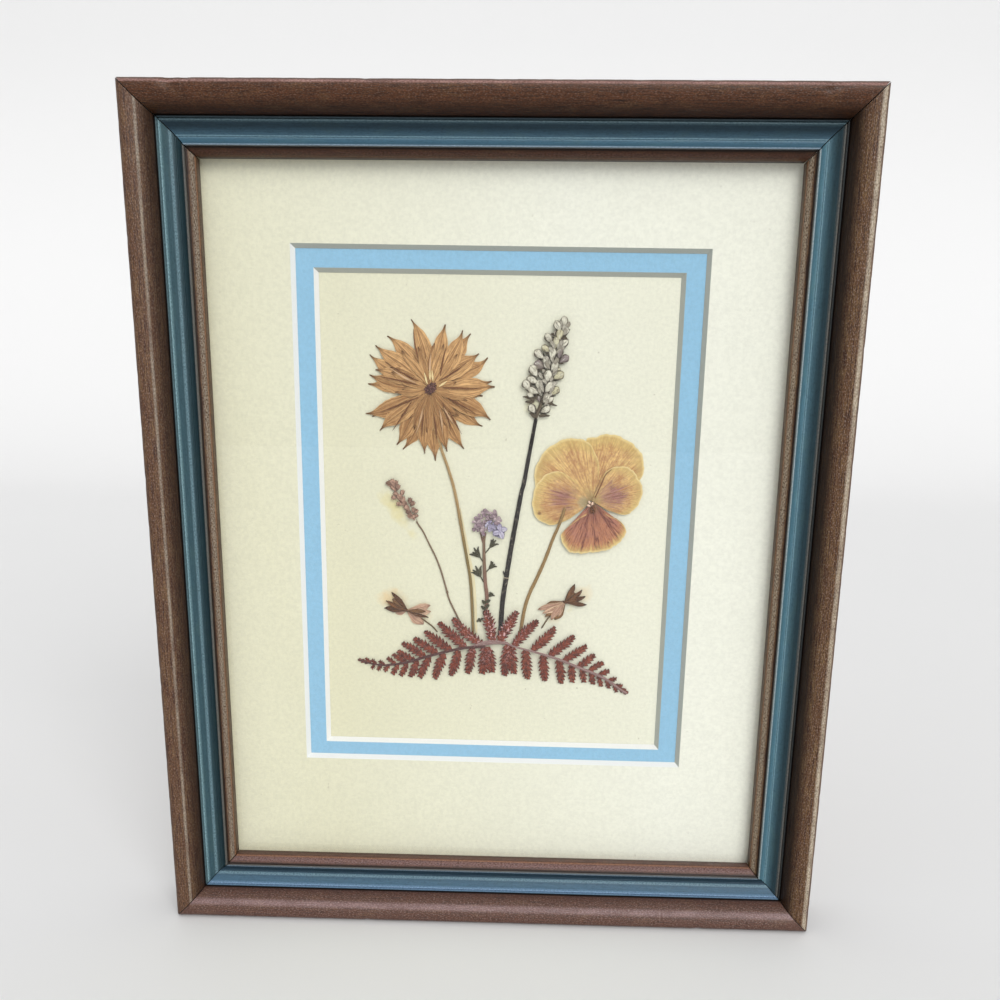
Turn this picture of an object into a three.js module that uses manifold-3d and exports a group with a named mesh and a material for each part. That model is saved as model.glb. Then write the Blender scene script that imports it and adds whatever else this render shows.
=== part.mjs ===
// Pressed flower frame: a mitred wooden moulding with a painted band, a pane of glass,
// two bevelled window mats and a card with a pressed arrangement of flowers and fern.
// Millimetres, +Z up. The front faces -Y. The origin is where the frame hangs: on the back
// face of the top rail, at the teeth of the sawtooth hanger.
//
// Everything is drawn as the picture is seen from the front: x to the right, y up and
// z towards the viewer, with z = 0 on the front face of the glass and x = y = 0 in the
// middle of the sight opening. The last group stands that drawing up.

import * as THREE from 'three';
import { mergeVertices } from 'three/addons/utils/BufferGeometryUtils.js';
import Module from 'manifold-3d';

const wasm = await Module();
wasm.setup();

// ---- Driving dimensions ----------------------------------------------------------------

const GLASS_SIZE = { width: 203.2, height: 254 };   // a standard 8 x 10 inch picture
const LIP_OVERLAP = 6.35;                           // how far the moulding covers the glass
const SIGHT = {
  width: GLASS_SIZE.width - 2 * LIP_OVERLAP,
  height: GLASS_SIZE.height - 2 * LIP_OVERLAP,
};

const MOULDING_WIDTH = 20.6;      // from the sight edge to the outer side
const RABBET_DEPTH = 11;          // from the front of the glass to the back of the frame
const RABBET_PLAY = 0.4;          // room round the glass, mats and boards
const MITRE_GAP = 0.3;            // opening of each corner joint, across the joint
const LAYER_GAP = 0.1;            // air between the layers of the sandwich
const LIP_GAP = 0.2;              // between the lip and the glass

const GLASS_THICKNESS = 2;
const MAT_THICKNESS = 1.4;
const CARD_THICKNESS = 1.4;
const BACKING_THICKNESS = 3;

// Windows of the mats at their front faces. They sit high, as a weighted mat does, and
// were cut a little turned.
const CREAM_WINDOW = { width: 136.6, height: 179.2, x: 0.1, y: 6 };
const BLUE_WINDOW = { width: 121.8, height: 165.8, x: -0.1, y: 5.4 };
const WINDOW_TURN = THREE.MathUtils.degToRad(-0.23);

// Front faces of the layers, counted from the front of the glass.
const CREAM_FRONT = -GLASS_THICKNESS - LAYER_GAP;
const BLUE_FRONT = CREAM_FRONT - MAT_THICKNESS - LAYER_GAP;
const CARD_FRONT = BLUE_FRONT - MAT_THICKNESS - LAYER_GAP;
const BACKING_FRONT = CARD_FRONT - CARD_THICKNESS - LAYER_GAP;
const BACKING_BACK = BACKING_FRONT - BACKING_THICKNESS;

// Moulding section: how far out from the sight edge and how high above the glass.
const CREST = { out: 18.4, high: 13.7 };
const SHOULDER_HEIGHT = 10.6;     // where the outer side starts to round over
const OUTER_ROUND = { out: 11.2, high: 6.4 };
const BEAD_HEIGHT = 6.8;
const QUIRK_HEIGHT = 6.2;
const COVE = { outer: 9.7, middle: 5.5, inner: 3.1, bottom: 4.4, lip: 6.9 };
const LIP_SHOULDER = { out: 2.45, high: 5.8 };
const LIP_NOSE = 3.2;

const HANG_HEIGHT = 10.5;         // of the hanging point above the sight edge
const HANGER = {
  span: 46, tall: 8.4, sheet: 0.8, standOff: 1.6, tab: 9, slope: 5, notch: 2, depth: 1.5, spare: 0.3,
};
const NAIL = { head: 1.5, dome: 0.7, sides: 8 };
const POINT = { length: 11, width: 7, sheet: 0.5 };

const PRESSED_GAP = 0.1;          // between the card and what is pressed on it
const HEAD_LIFT = 1.05;           // underside of a flower head that lies over its stem
const FERN_LIFT = 1.25;           // underside of the fern where it crosses the stems

// ---- Materials -------------------------------------------------------------------------

const finish = (color, roughness, metalness = 0) =>
  new THREE.MeshStandardMaterial({ color, roughness, metalness });
const WOOD = finish(0x5a3d2e, 0.45);
const GLASS = finish(0xe8f0ee, 0.05);
GLASS.transparent = true;
GLASS.opacity = 0.35;
const CREAM = finish(0xece9d4, 0.9);
const BLUE = finish(0x9bc8e6, 0.9);
const CARD = finish(0xebe8d3, 0.95);
const BOARD = finish(0x8a7458, 0.95);
const STEEL = finish(0x9c9a94, 0.4, 1);
const TAN = finish(0xc39664, 0.8);
const STRAW = finish(0xb59a5e, 0.75);
const PALE = finish(0xb9b49a, 0.7);
const DARK_STEM = finish(0x3c342e, 0.7);
const YELLOW = finish(0xd7af6e, 0.75);
const BROWN = finish(0x8c6455, 0.85);
const PURPLE = finish(0x826e96, 0.8);
const BELL = finish(0xa98672, 0.8);
const FERN = finish(0x6e3c32, 0.8);

// ---- Solids ----------------------------------------------------------------------------

// A closed mesh as a solid that can be joined and cut.
function solid(geometry) {
  const bare = geometry.clone();
  bare.deleteAttribute('normal');
  bare.deleteAttribute('uv');
  const merged = mergeVertices(bare, 1e-4);
  return new wasm.Manifold(new wasm.Mesh({
    numProp: 3,
    vertProperties: new Float32Array(merged.attributes.position.array),
    triVerts: new Uint32Array(merged.index.array),
  }));
}

function geometryOf(body) {
  const { vertProperties, triVerts } = body.getMesh();
  const geometry = new THREE.BufferGeometry();
  geometry.setAttribute('position', new THREE.BufferAttribute(vertProperties.slice(), 3));
  geometry.setIndex(new THREE.BufferAttribute(triVerts.slice(), 1));
  geometry.computeVertexNormals();
  return geometry;
}

const joined = (geometries) =>
  geometryOf(geometries.map(solid).reduce((whole, piece) => whole.add(piece)));

// A flat outline, given in the plane of the picture, with its underside at height z.
function plate(shape, z, thickness, curveSegments = 4) {
  const options = { depth: thickness, bevelEnabled: false, curveSegments };
  return new THREE.ExtrudeGeometry(shape, options).translate(0, 0, z);
}

// A closed outline that runs smoothly through a few points.
function roundedShape(points, divisions) {
  const knots = points.map(([x, y]) => new THREE.Vector3(x, y, 0));
  const curve = new THREE.CatmullRomCurve3(knots, true, 'centripetal');
  return new THREE.Shape(curve.getPoints(divisions).slice(0, -1).map((p) => new THREE.Vector2(p.x, p.y)));
}

// A flattened strand through [x, y] points, resting on a flat side at height z. The height
// may be a function of x, for a strand that climbs over others.
function strand(points, width, thickness, z, steps, sides = 6) {
  const height = typeof z === 'function' ? z : () => z;
  const path = new THREE.CatmullRomCurve3(
    points.map(([x, y]) => new THREE.Vector3(x, y, height(x) + thickness / 2)), false, 'centripetal');
  const angles = Array.from({ length: sides }, (_, side) => (side + 0.5) * 2 * Math.PI / sides);
  const tallest = Math.max(...angles.map(Math.cos));
  const widest = Math.max(...angles.map(Math.sin));
  const section = new THREE.Shape(angles.map((angle) => new THREE.Vector2(
    Math.cos(angle) / tallest * thickness / 2, Math.sin(angle) / widest * width / 2)));
  return new THREE.ExtrudeGeometry(section, { steps, extrudePath: path, bevelEnabled: false });
}

// A pod or floret: a lying five-sided lump, turned in the plane of the card.
function pod([x, y], length, width, turn, z, thickness) {
  const girth = 0.95 * Math.sin(Math.PI / 3);
  const geometry = new THREE.SphereGeometry(0.5, 5, 3).rotateX(Math.PI / 2);
  geometry.scale(width / girth, length / girth, thickness).rotateZ(turn);
  return geometry.translate(x, y, z + thickness / 2);
}

const angleTo = ([x0, y0], [x1, y1]) => Math.atan2(y1 - y0, x1 - x0);
const distance = ([x0, y0], [x1, y1]) => Math.hypot(x1 - x0, y1 - y0);

const picture = new THREE.Group();

function place(name, geometry, material, parent = picture) {
  const mesh = new THREE.Mesh(geometry, material);
  mesh.name = name;
  parent.add(mesh);
  return mesh;
}

// ---- Moulding --------------------------------------------------------------------------

// Section of the moulding: x runs outwards from the sight edge, y towards the viewer.
// From the sight edge: lip, quirk, painted cove between two fillets, quirk, small bead,
// and the high outer round with its crest near the outer side.
function mouldingSection() {
  const shape = new THREE.Shape();
  shape.moveTo(0, LIP_GAP);
  shape.lineTo(LIP_OVERLAP + RABBET_PLAY, LIP_GAP);
  shape.lineTo(LIP_OVERLAP + RABBET_PLAY, -RABBET_DEPTH);
  shape.lineTo(MOULDING_WIDTH, -RABBET_DEPTH);
  shape.lineTo(MOULDING_WIDTH, SHOULDER_HEIGHT);
  shape.absellipse(CREST.out, SHOULDER_HEIGHT, MOULDING_WIDTH - CREST.out, CREST.high - SHOULDER_HEIGHT,
    0, Math.PI / 2, false);
  shape.absellipse(CREST.out, OUTER_ROUND.high, CREST.out - OUTER_ROUND.out, CREST.high - OUTER_ROUND.high,
    Math.PI / 2, Math.PI, false);
  shape.lineTo(11.05, BEAD_HEIGHT);
  shape.lineTo(10.75, BEAD_HEIGHT);
  shape.lineTo(10.5, QUIRK_HEIGHT);
  shape.lineTo(10.2, BEAD_HEIGHT);
  shape.lineTo(COVE.outer, BEAD_HEIGHT);
  shape.quadraticCurveTo(6.9, COVE.bottom, COVE.middle, COVE.bottom);
  shape.quadraticCurveTo(4.3, COVE.bottom, COVE.inner, COVE.lip);
  shape.lineTo(2.75, COVE.lip);
  shape.lineTo(LIP_SHOULDER.out, LIP_SHOULDER.high);
  shape.quadraticCurveTo(1, 5.3, 0.25, 3.6);
  shape.lineTo(0, LIP_NOSE);
  shape.closePath();
  return shape;
}

// One rail along x, mitred at both ends, with its sight edge at y = 0. The section is
// extruded to the sight length, then each end is slid out by its distance from the edge.
function rail(sightLength) {
  const length = sightLength - MITRE_GAP * Math.SQRT2;
  const geometry = new THREE.ExtrudeGeometry(mouldingSection(), {
    depth: length, bevelEnabled: false, curveSegments: 4,
  });
  geometry.translate(0, 0, -length / 2);
  const position = geometry.attributes.position;
  for (let i = 0; i < position.count; i += 1) {
    const outwards = position.getX(i);
    const forwards = position.getY(i);
    const along = position.getZ(i);
    position.setXYZ(i, along + Math.sign(along) * outwards, outwards, forwards);
  }
  geometry.computeVertexNormals();
  return geometry;
}

function addRails() {
  const across = rail(SIGHT.width);
  const upright = rail(SIGHT.height);
  const quarter = Math.PI / 2;
  place('rail_top', across, WOOD).position.y = SIGHT.height / 2;
  const bottom = place('rail_bottom', across, WOOD);
  bottom.position.y = -SIGHT.height / 2;
  bottom.rotation.z = 2 * quarter;
  const left = place('rail_left', upright, WOOD);
  left.position.x = -SIGHT.width / 2;
  left.rotation.z = quarter;
  const right = place('rail_right', upright, WOOD);
  right.position.x = SIGHT.width / 2;
  right.rotation.z = -quarter;
}

// ---- Glass, mats and boards ------------------------------------------------------------

function sheet(thickness, front) {
  const box = new THREE.BoxGeometry(GLASS_SIZE.width, GLASS_SIZE.height, thickness);
  return box.translate(0, 0, front - thickness / 2);
}

// A mat board with a window cut at 45 degrees, wider at the front. The cutter runs past
// both faces.
function mat(window, front) {
  const past = 1;
  const depth = MAT_THICKNESS + 2 * past;
  const cutter = new THREE.BoxGeometry(1, 1, depth).translate(0, 0, front - MAT_THICKNESS / 2);
  const position = cutter.attributes.position;
  for (let i = 0; i < position.count; i += 1) {
    const spread = 2 * (position.getZ(i) - front);
    position.setX(i, Math.sign(position.getX(i)) * (window.width + spread) / 2);
    position.setY(i, Math.sign(position.getY(i)) * (window.height + spread) / 2);
  }
  cutter.rotateZ(WINDOW_TURN).translate(window.x, window.y, 0);
  return geometryOf(solid(sheet(MAT_THICKNESS, front)).subtract(solid(cutter)));
}

function addSandwich() {
  place('glass_pane', sheet(GLASS_THICKNESS, 0), GLASS);
  place('cream_mat', mat(CREAM_WINDOW, CREAM_FRONT), CREAM);
  place('blue_mat', mat(BLUE_WINDOW, BLUE_FRONT), BLUE);
  place('mount_card', sheet(CARD_THICKNESS, CARD_FRONT), CARD);
  place('backing_board', sheet(BACKING_THICKNESS, BACKING_FRONT), BOARD);
}

// Flat framer's points hold the sandwich in the rabbet: two to a side, each with its
// rounded nose over the backing board and its root at the rabbet wall.
function addPoints() {
  const half = POINT.width / 2;
  const nose = new THREE.Shape();
  nose.moveTo(-half, 0);
  nose.lineTo(-half, -POINT.length + half);
  nose.absarc(0, -POINT.length + half, half, Math.PI, 2 * Math.PI, false);
  nose.lineTo(half, 0);
  nose.closePath();
  const geometry = plate(nose, BACKING_BACK - LAYER_GAP - POINT.sheet, POINT.sheet);
  const wallX = SIGHT.width / 2 + LIP_OVERLAP + RABBET_PLAY - LAYER_GAP;
  const wallY = SIGHT.height / 2 + LIP_OVERLAP + RABBET_PLAY - LAYER_GAP;
  const quarter = Math.PI / 2;
  const sides = [
    { name: 'top', x: 0, y: wallY, turn: 0, along: SIGHT.width / 4 },
    { name: 'right', x: wallX, y: 0, turn: -quarter, along: SIGHT.height / 4 },
    { name: 'bottom', x: 0, y: -wallY, turn: 2 * quarter, along: SIGHT.width / 4 },
    { name: 'left', x: -wallX, y: 0, turn: quarter, along: SIGHT.height / 4 },
  ];
  for (const side of sides) {
    for (const [number, way] of [[1, -1], [2, 1]]) {
      const point = place(`framers_point_${side.name}_${number}`, geometry, STEEL);
      point.rotation.z = side.turn;
      point.position.x = side.x + way * side.along * Math.cos(side.turn);
      point.position.y = side.y + way * side.along * Math.sin(side.turn);
    }
  }
}

// ---- Hanger ----------------------------------------------------------------------------

// A strip on the back of the top rail, bent out in the middle, with notches for the wall
// nail cut in its lower edge.
function addHanger() {
  const { span, tall, sheet: t, standOff, tab, slope, notch, depth, spare } = HANGER;
  const back = -RABBET_DEPTH - LAYER_GAP;
  const hangY = SIGHT.height / 2 + HANG_HEIGHT;
  const half = span / 2;
  const flat = half - tab - slope;
  const bent = [
    [-half, 0], [-half + tab, 0], [-flat, standOff], [flat, standOff], [half - tab, 0], [half, 0],
    [half, t], [half - tab, t], [flat, standOff + t], [-flat, standOff + t], [-half + tab, t], [-half, t],
  ];
  const outline = new THREE.Shape(bent.map(([x, behind]) => new THREE.Vector2(x, behind)));
  const strip = new THREE.ExtrudeGeometry(outline, { depth: tall, bevelEnabled: false });
  strip.rotateX(-Math.PI / 2).translate(0, hangY - depth, back);

  const notches = [];
  for (let x = -flat + notch; x < flat; x += notch) {
    const cut = new THREE.Shape([
      new THREE.Vector2(x - notch / 2 - spare, hangY - depth - spare),
      new THREE.Vector2(x + notch / 2 + spare, hangY - depth - spare),
      new THREE.Vector2(x, hangY),
    ]);
    notches.push(solid(plate(cut, back - 2 * (standOff + t), 2 * (standOff + t))));
  }
  const teeth = notches.reduce((all, cut) => all.add(cut));
  place('sawtooth_hanger', geometryOf(solid(strip).subtract(teeth)), STEEL);

  const head = new THREE.LatheGeometry([
    new THREE.Vector2(0, 0), new THREE.Vector2(NAIL.head, 0),
    new THREE.Vector2(0.7 * NAIL.head, 0.7 * NAIL.dome), new THREE.Vector2(0, NAIL.dome),
  ], NAIL.sides).rotateX(-Math.PI / 2);
  for (const [name, way] of [['hanger_nail_left', -1], ['hanger_nail_right', 1]]) {
    const nail = place(name, head, STEEL);
    nail.position.set(way * (half - tab / 2), hangY - depth + tall / 2, back - t - LAYER_GAP);
  }
}

// ---- Pressed flowers -------------------------------------------------------------------

// Petals and blades are plates in the plane of the card. Places are in millimetres from
// the middle of the sight opening; heights are above the card.
const arrangement = new THREE.Group();
arrangement.position.z = CARD_FRONT + PRESSED_GAP;
picture.add(arrangement);

const grow = (name, geometry, material) => place(name, geometry, material, arrangement);

// A stem lies flat on the card: { path, width, thickness, steps }.
const stemStrand = ({ path, width, thickness, steps }) => strand(path, width, thickness, 0, steps);

// A pointed petal from root to tip, widest at a share of its length.
function petal(root, tip, width, widest, z, thickness) {
  const length = distance(root, tip);
  const half = width / 2;
  const side = [[0, 0.2], [0.75 * widest, 0.95], [(1 + widest) / 2, 0.72]];
  const edge = side.map(([along, out]) => new THREE.Vector2(along * length, out * half));
  const mirror = edge.map((point) => new THREE.Vector2(point.x, -point.y)).reverse();
  const shape = new THREE.Shape([...edge, new THREE.Vector2(length, 0), ...mirror]);
  return plate(shape, z, thickness).rotateZ(angleTo(root, tip)).translate(root[0], root[1], 0);
}

// A low cone in the middle of a flower head.
function flowerHeart([x, y], { top, bottom, height }) {
  const cone = new THREE.CylinderGeometry(top, bottom, height, 10).rotateX(Math.PI / 2);
  return cone.translate(x, y, HEAD_LIFT + height / 2);
}

const starFlower = {
  centre: [-22.3, 50.3],
  tips: [
    [-28.9, 72.6], [-17.5, 71.1], [-11.7, 69.3], [-9, 68.2], [-6.2, 61.8], [-3.3, 60.6], [-1.9, 52.9],
    [-0.8, 51.1], [-4.9, 48], [-2.2, 40.1], [-4.9, 37.9], [-11.2, 30.2], [-16.9, 29.2], [-21, 26],
    [-24.6, 28.4], [-32.1, 29.7], [-34.2, 31.3], [-39.9, 36], [-42.5, 40.6], [-44.6, 41.7],
    [-43.7, 51.5], [-43.1, 54.5], [-41, 56.2], [-42.9, 61.1], [-40.9, 64.1], [-36.9, 67.2],
  ],
  petalWidth: 5.6,
  petalThickness: 0.36,
  layer: 0.4,
  heart: { top: 2.3, bottom: 3.1, height: 1.3 },
  stem: {
    path: [[-22, 46.5], [-20.5, 37], [-18.8, 29.8], [-16.4, 22.9], [-14.2, 15.1], [-11.9, 2.6],
      [-9.9, -8.5], [-8.8, -15.1], [-8.2, -23], [-7.7, -33.3]],
    width: 1.1, thickness: 0.8, steps: 11,
  },
};

function addStarFlower() {
  const { centre, tips, petalWidth, petalThickness, layer, heart, stem } = starFlower;
  const petals = tips.map((tip, i) =>
    petal(centre, tip, petalWidth, 0.62, HEAD_LIFT + layer * ((i * 2) % 3), petalThickness));
  grow('star_flower_head', joined([flowerHeart(centre, heart), ...petals]), TAN);
  grow('star_flower_stem', stemStrand(stem), STRAW);
}

const lavender = {
  axis: [[13.05, 40.7], [15.3, 47], [17.4, 54.5], [19.4, 63], [21.9, 72.6]],
  florets: [
    [21.9, 72.4, 2.2, 0.1], [19.9, 70.9, 2.4, 0.5], [22.2, 69.3, 2.2, -0.3], [20.4, 67.9, 2.6, 0],
    [17, 67, 2.5, 0.9], [19.3, 65.4, 2.6, 0.2], [21.8, 65.3, 2.5, -0.6], [16.2, 63.6, 2.5, 0.8],
    [14, 61.7, 2.6, 0.9], [18.2, 62, 2.6, 0.2], [20.6, 62.2, 2.6, -0.5], [22, 60.3, 2.6, -1],
    [16.7, 59.6, 2.7, 0.4], [18.9, 58, 2.6, -0.2], [14.1, 58.3, 2.8, 0.8], [12.3, 56.3, 2.8, 0.9],
    [20.3, 54.9, 2.7, -1], [16.9, 54.8, 2.8, 0], [11.9, 53.4, 2.7, 0.9], [10, 51.6, 2.7, 0.7],
    [14.3, 51.5, 2.9, 0.4], [17.4, 51.2, 2.9, -0.3], [19.2, 49.8, 2.8, -0.9], [12.2, 49.9, 2.7, 0.8],
    [16.4, 47.5, 2.6, -0.5], [11.9, 44, 2.4, 0.7], [16.3, 43.8, 2.4, -0.8], [11.3, 48.5, 1.8, 1.2],
    [17.9, 47, 1.8, -1.2],
  ],
  stem: {
    path: [[13.1, 40.3], [11.1, 28.2], [9.6, 19.1], [8.8, 15.9], [8, 11.3], [5.6, -3.2], [4.1, -13.3],
      [2.8, -22.8], [2.2, -33.1]],
    width: 1.75, thickness: 0.95, steps: 11,
  },
  stalks: [[[13.5, 42], [11.9, 44]], [[13.9, 42.8], [16.3, 43.8]], [[15.6, 47.6], [10, 51.6]]],
  thorn: [[4.6, -13.9], [2.9, -13.6], [2.5, -12]],
};

function addLavender() {
  const { axis, florets, stalks, stem, thorn } = lavender;
  const pods = florets.map(([x, y, width, turn], i) =>
    pod([x, y], 1.55 * width, width, turn, 0.1 + 0.35 * (i % 2), 1.7));
  const core = petal(axis[1], axis[4], 6.2, 0.3, 0.4, 0.8);
  const sprays = stalks.map((ends) => strand(ends, 0.6, 0.6, 0.5, 1, 4));
  grow('lavender_head', joined([strand(axis, 1.4, 0.9, 0.3, 4), core, ...sprays, ...pods]), PALE);
  const spike = strand(thorn, 0.5, 0.5, 0.2, 2, 4);
  grow('lavender_stem', joined([stemStrand(stem), spike]), DARK_STEM);
}

const smallLavender = {
  axis: [[-28.1, 5.35], [-30.6, 9], [-33.2, 12.4], [-35.6, 16.6]],
  buds: [
    [-36, 17.2, 3], [-34.5, 14, 2.4], [-32.4, 14.6, 2.2], [-33, 11.2, 2.8], [-29.3, 11, 2.4],
    [-30.9, 9.3, 2.8], [-27.9, 8.3, 2.4], [-28.9, 6.6, 2.4],
  ],
  stem: {
    path: [[-27.85, 5], [-25.5, 1.6], [-23.3, -2.9], [-21, -7.6], [-19.1, -12.6], [-17.2, -19.3],
      [-16.1, -23.2], [-12.6, -30.6]],
    width: 0.75, thickness: 0.55, steps: 10,
  },
};

function addSmallLavender() {
  const { axis, buds, stem } = smallLavender;
  const blobs = buds.map(([x, y, size], i) => pod([x, y], 1.2 * size, size, 0.7, 0.2 * (i % 2), 1.3));
  grow('small_lavender_head', joined([strand(axis, 2.4, 0.7, 0.2, 5), ...blobs]), BROWN);
  grow('small_lavender_stem', stemStrand(stem), BROWN);
}

// Petals of the pansy from the back to the front, each lying on the one before.
const pansy = {
  petals: [
    { level: 0, rim: [[33, 13.5], [33, 25], [30.4, 33.4], [33.7, 34.9], [37.6, 35.9], [41.3, 35.3],
      [45.9, 33], [49.4, 29.4], [50.4, 25.2], [49.4, 20.6], [42, 15]] },
    { level: 1, rim: [[33.2, 13.2], [35.1, 21], [35.2, 23.7], [34.6, 27.4], [32.3, 31.9], [30.4, 33.4],
      [27.4, 34.4], [21, 33.2], [15.3, 28.3], [13.1, 21.5], [15, 15.5], [24, 13]] },
    { level: 2, rim: [[33, 13.2], [35.8, 20.1], [37.2, 22.8], [39.9, 24.7], [43.2, 25.1], [46.6, 23.9],
      [50.1, 18.4], [50.1, 15.1], [48.7, 11.6], [44.9, 8.5], [38.6, 9.9]] },
    { level: 2, rim: [[32.6, 13.6], [29.7, 17.2], [26.6, 20.2], [21.3, 23.1], [16.4, 21.4], [13, 16],
      [13.3, 8.2], [18.4, 4.6], [23.9, 5.9], [29.1, 9.4]] },
    { level: 3, rim: [[33.2, 13], [31.3, 8.3], [28.5, 6.6], [23.4, 2.2], [22.9, -0.4], [26.1, -4.8],
      [33.6, -4.9], [40.4, -3.2], [44.9, 1.3], [44.1, 5.3], [38.1, 8.4]] },
  ],
  petalThickness: 0.32,
  layer: 0.36,
  centre: [33.3, 12.2],
  heart: { top: 1.1, bottom: 1.6, height: 1.65 },
  stem: {
    path: [[29.5, 13], [26, 11.5], [23.2, 9], [21.8, 5.3], [20, 0.5], [17.4, -8], [14.4, -15.3],
      [12.4, -19.8], [10.7, -25.4], [9.4, -33.7]],
    width: 1.25, thickness: 0.85, steps: 11,
  },
};

function addPansy() {
  const { petals, petalThickness, layer, centre, heart, stem } = pansy;
  const plates = petals.map(({ level, rim }) =>
    plate(roundedShape(rim, 22), HEAD_LIFT + layer * level, petalThickness));
  grow('pansy_head', joined([flowerHeart(centre, heart), ...plates]), YELLOW);
  grow('pansy_stem', stemStrand(stem), STRAW);
}

const purpleBlossom = {
  axis: [[-4.1, 0.35], [-3.7, 2.5], [-3, 5.5]],
  florets: [
    [-3.8, 8.4], [-1, 7.9], [-5.6, 6.7], [-6.6, 4.9], [-6.8, 2.9], [-4.3, 4.6], [-2.1, 4.4], [0.5, 5.8],
    [2.1, 2.9], [1.3, 1.3], [-0.9, 2.3], [-4, 2.4],
  ],
  stem: {
    path: [[-4.1, 0], [-4, -5.7], [-3.8, -11.2], [-3.4, -17], [-2.8, -22.1], [-3.3, -27.3]],
    width: 1, thickness: 0.7, steps: 6,
  },
  buds: [
    { from: [-4, -6.6], knee: [-1.9, -3.9], tip: [-0.1, -1.4] },
    { from: [-3.9, -9.6], knee: [-5.4, -7.4], tip: [-7.9, -4.7] },
    { from: [-3.7, -13.4], knee: [-2.1, -11.5], tip: [0, -9.2] },
    { from: [-3.4, -17.4], knee: [-5.1, -14.4], tip: [-7.4, -11.2] },
    { from: [-2.9, -22.4], knee: [-2.3, -21.6], tip: [-0.6, -20.2] },
  ],
};

// A stalk with three short lobes at its end.
function sideBud({ from, knee, tip }) {
  const reach = distance(knee, tip);
  const side = [[-0.2, 0.12], [0.4, 0.32], [0.9, 0.55], [0.55, 0.14]];
  const edge = side.map(([along, out]) => new THREE.Vector2(along * reach, out * reach));
  const mirror = edge.map((point) => new THREE.Vector2(point.x, -point.y)).reverse();
  const lobes = plate(new THREE.Shape([...edge, new THREE.Vector2(reach, 0), ...mirror]), 0.1, 0.5);
  lobes.rotateZ(angleTo(knee, tip)).translate(knee[0], knee[1], 0);
  return [strand([from, knee], 0.5, 0.4, 0.15, 1, 4), lobes];
}

function addPurpleBlossom() {
  const { axis, florets, stem, buds } = purpleBlossom;
  const blobs = florets.map((centre, i) => pod(centre, 3.2, 2.8, i, 0.25 * (i % 3), 1.2));
  const core = petal(axis[0], [-2.6, 8], 5.6, 0.7, 0.3, 0.8);
  grow('purple_blossom_head', joined([strand(axis, 1.2, 0.8, 0.2, 2), core, ...blobs]), PURPLE);
  grow('purple_blossom_stem', joined([stemStrand(stem), ...buds.flatMap(sideBud)]), BROWN);
}

// A nodding flower: pale lobes spread one way from a narrow neck, dark ones the other.
const bellStem = { width: 0.6, thickness: 0.5, steps: 4 };
const bells = [
  {
    name: 'left_bell', neck: [-31.2, -26.9],
    pale: [[-22.6, -25.3], [-22.9, -27.8], [-23.4, -30.2], [-25, -32.6]],
    dark: [[-37, -20.9], [-38.7, -23.8], [-39.1, -26.6]],
    stemPath: [[-27, -29.6], [-25.1, -30.8], [-22.3, -32.9], [-20.3, -35.1]],
  },
  {
    name: 'right_bell', neck: [24.8, -22.9],
    pale: [[15.8, -26], [17, -28.4], [19.9, -30.2], [23.3, -28.6]],
    dark: [[28.2, -16.3], [30.8, -18.1], [32.2, -20.7], [32.7, -23.8]],
    stemPath: [[21.5, -26.2], [20, -28], [19, -29.2], [17, -32.2]],
  },
];

function addBells() {
  const lobes = ({ neck }, tips, width) =>
    tips.map((tip, i) => petal(neck, tip, width, 0.6, HEAD_LIFT - 0.4 + 0.3 * (i % 2), 0.4));
  for (const bell of bells) {
    const knot = pod(bell.neck, 1.5, 1.3, 0, HEAD_LIFT - 0.5, 1.1);
    const head = [knot, ...lobes(bell, bell.pale, 3.2), ...lobes(bell, bell.dark, 2.8)];
    grow(`${bell.name}_head`, joined(head), BELL);
    grow(`${bell.name}_stem`, stemStrand({ path: bell.stemPath, ...bellStem }), BROWN);
  }
}

// ---- Fern ------------------------------------------------------------------------------

// The fern climbs over the stems in the middle and comes down to the card on both sides.
const FERN_THICKNESS = 0.45;
const fernHeight = (x) => {
  const out = THREE.MathUtils.clamp((Math.abs(x - 1) - 21) / 22, 0, 1);
  return THREE.MathUtils.lerp(FERN_LIFT, 0, out);
};

// A leaflet with pointed teeth. It sinks from the stalk's height to the card, unless it
// lies over a stem.
function leaflet({ root, tip, width, teeth, overStem = false }) {
  const length = distance(root, tip);
  const edge = [];
  const halfAt = (share) => (width / 2) * Math.min(1, 0.62 + share * 1.6) * (1 - 0.62 * share ** 2.2);
  for (let tooth = 0; tooth < teeth; tooth += 1) {
    const start = (tooth + 0.15) / (teeth + 0.6);
    const point = (tooth + 1.15) / (teeth + 0.6);
    edge.push([start * length, 0.62 * halfAt(start)], [point * length, halfAt(point)]);
  }
  edge[0] = [-0.2, 0.35];
  const mirror = edge.map(([x, y]) => [x, -y]);
  const outline = [...mirror, [length, 0], ...edge.reverse()].map(([x, y]) => new THREE.Vector2(x, y));
  const geometry = plate(new THREE.Shape(outline), 0, FERN_THICKNESS);
  const high = fernHeight(root[0]);
  const low = overStem ? high : 0;
  const position = geometry.attributes.position;
  for (let i = 0; i < position.count; i += 1) {
    const share = THREE.MathUtils.clamp(position.getX(i) / length, 0, 1);
    position.setZ(i, position.getZ(i) + THREE.MathUtils.lerp(high, low, share));
  }
  return geometry.rotateZ(angleTo(root, tip)).translate(root[0], root[1], 0);
}

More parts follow.
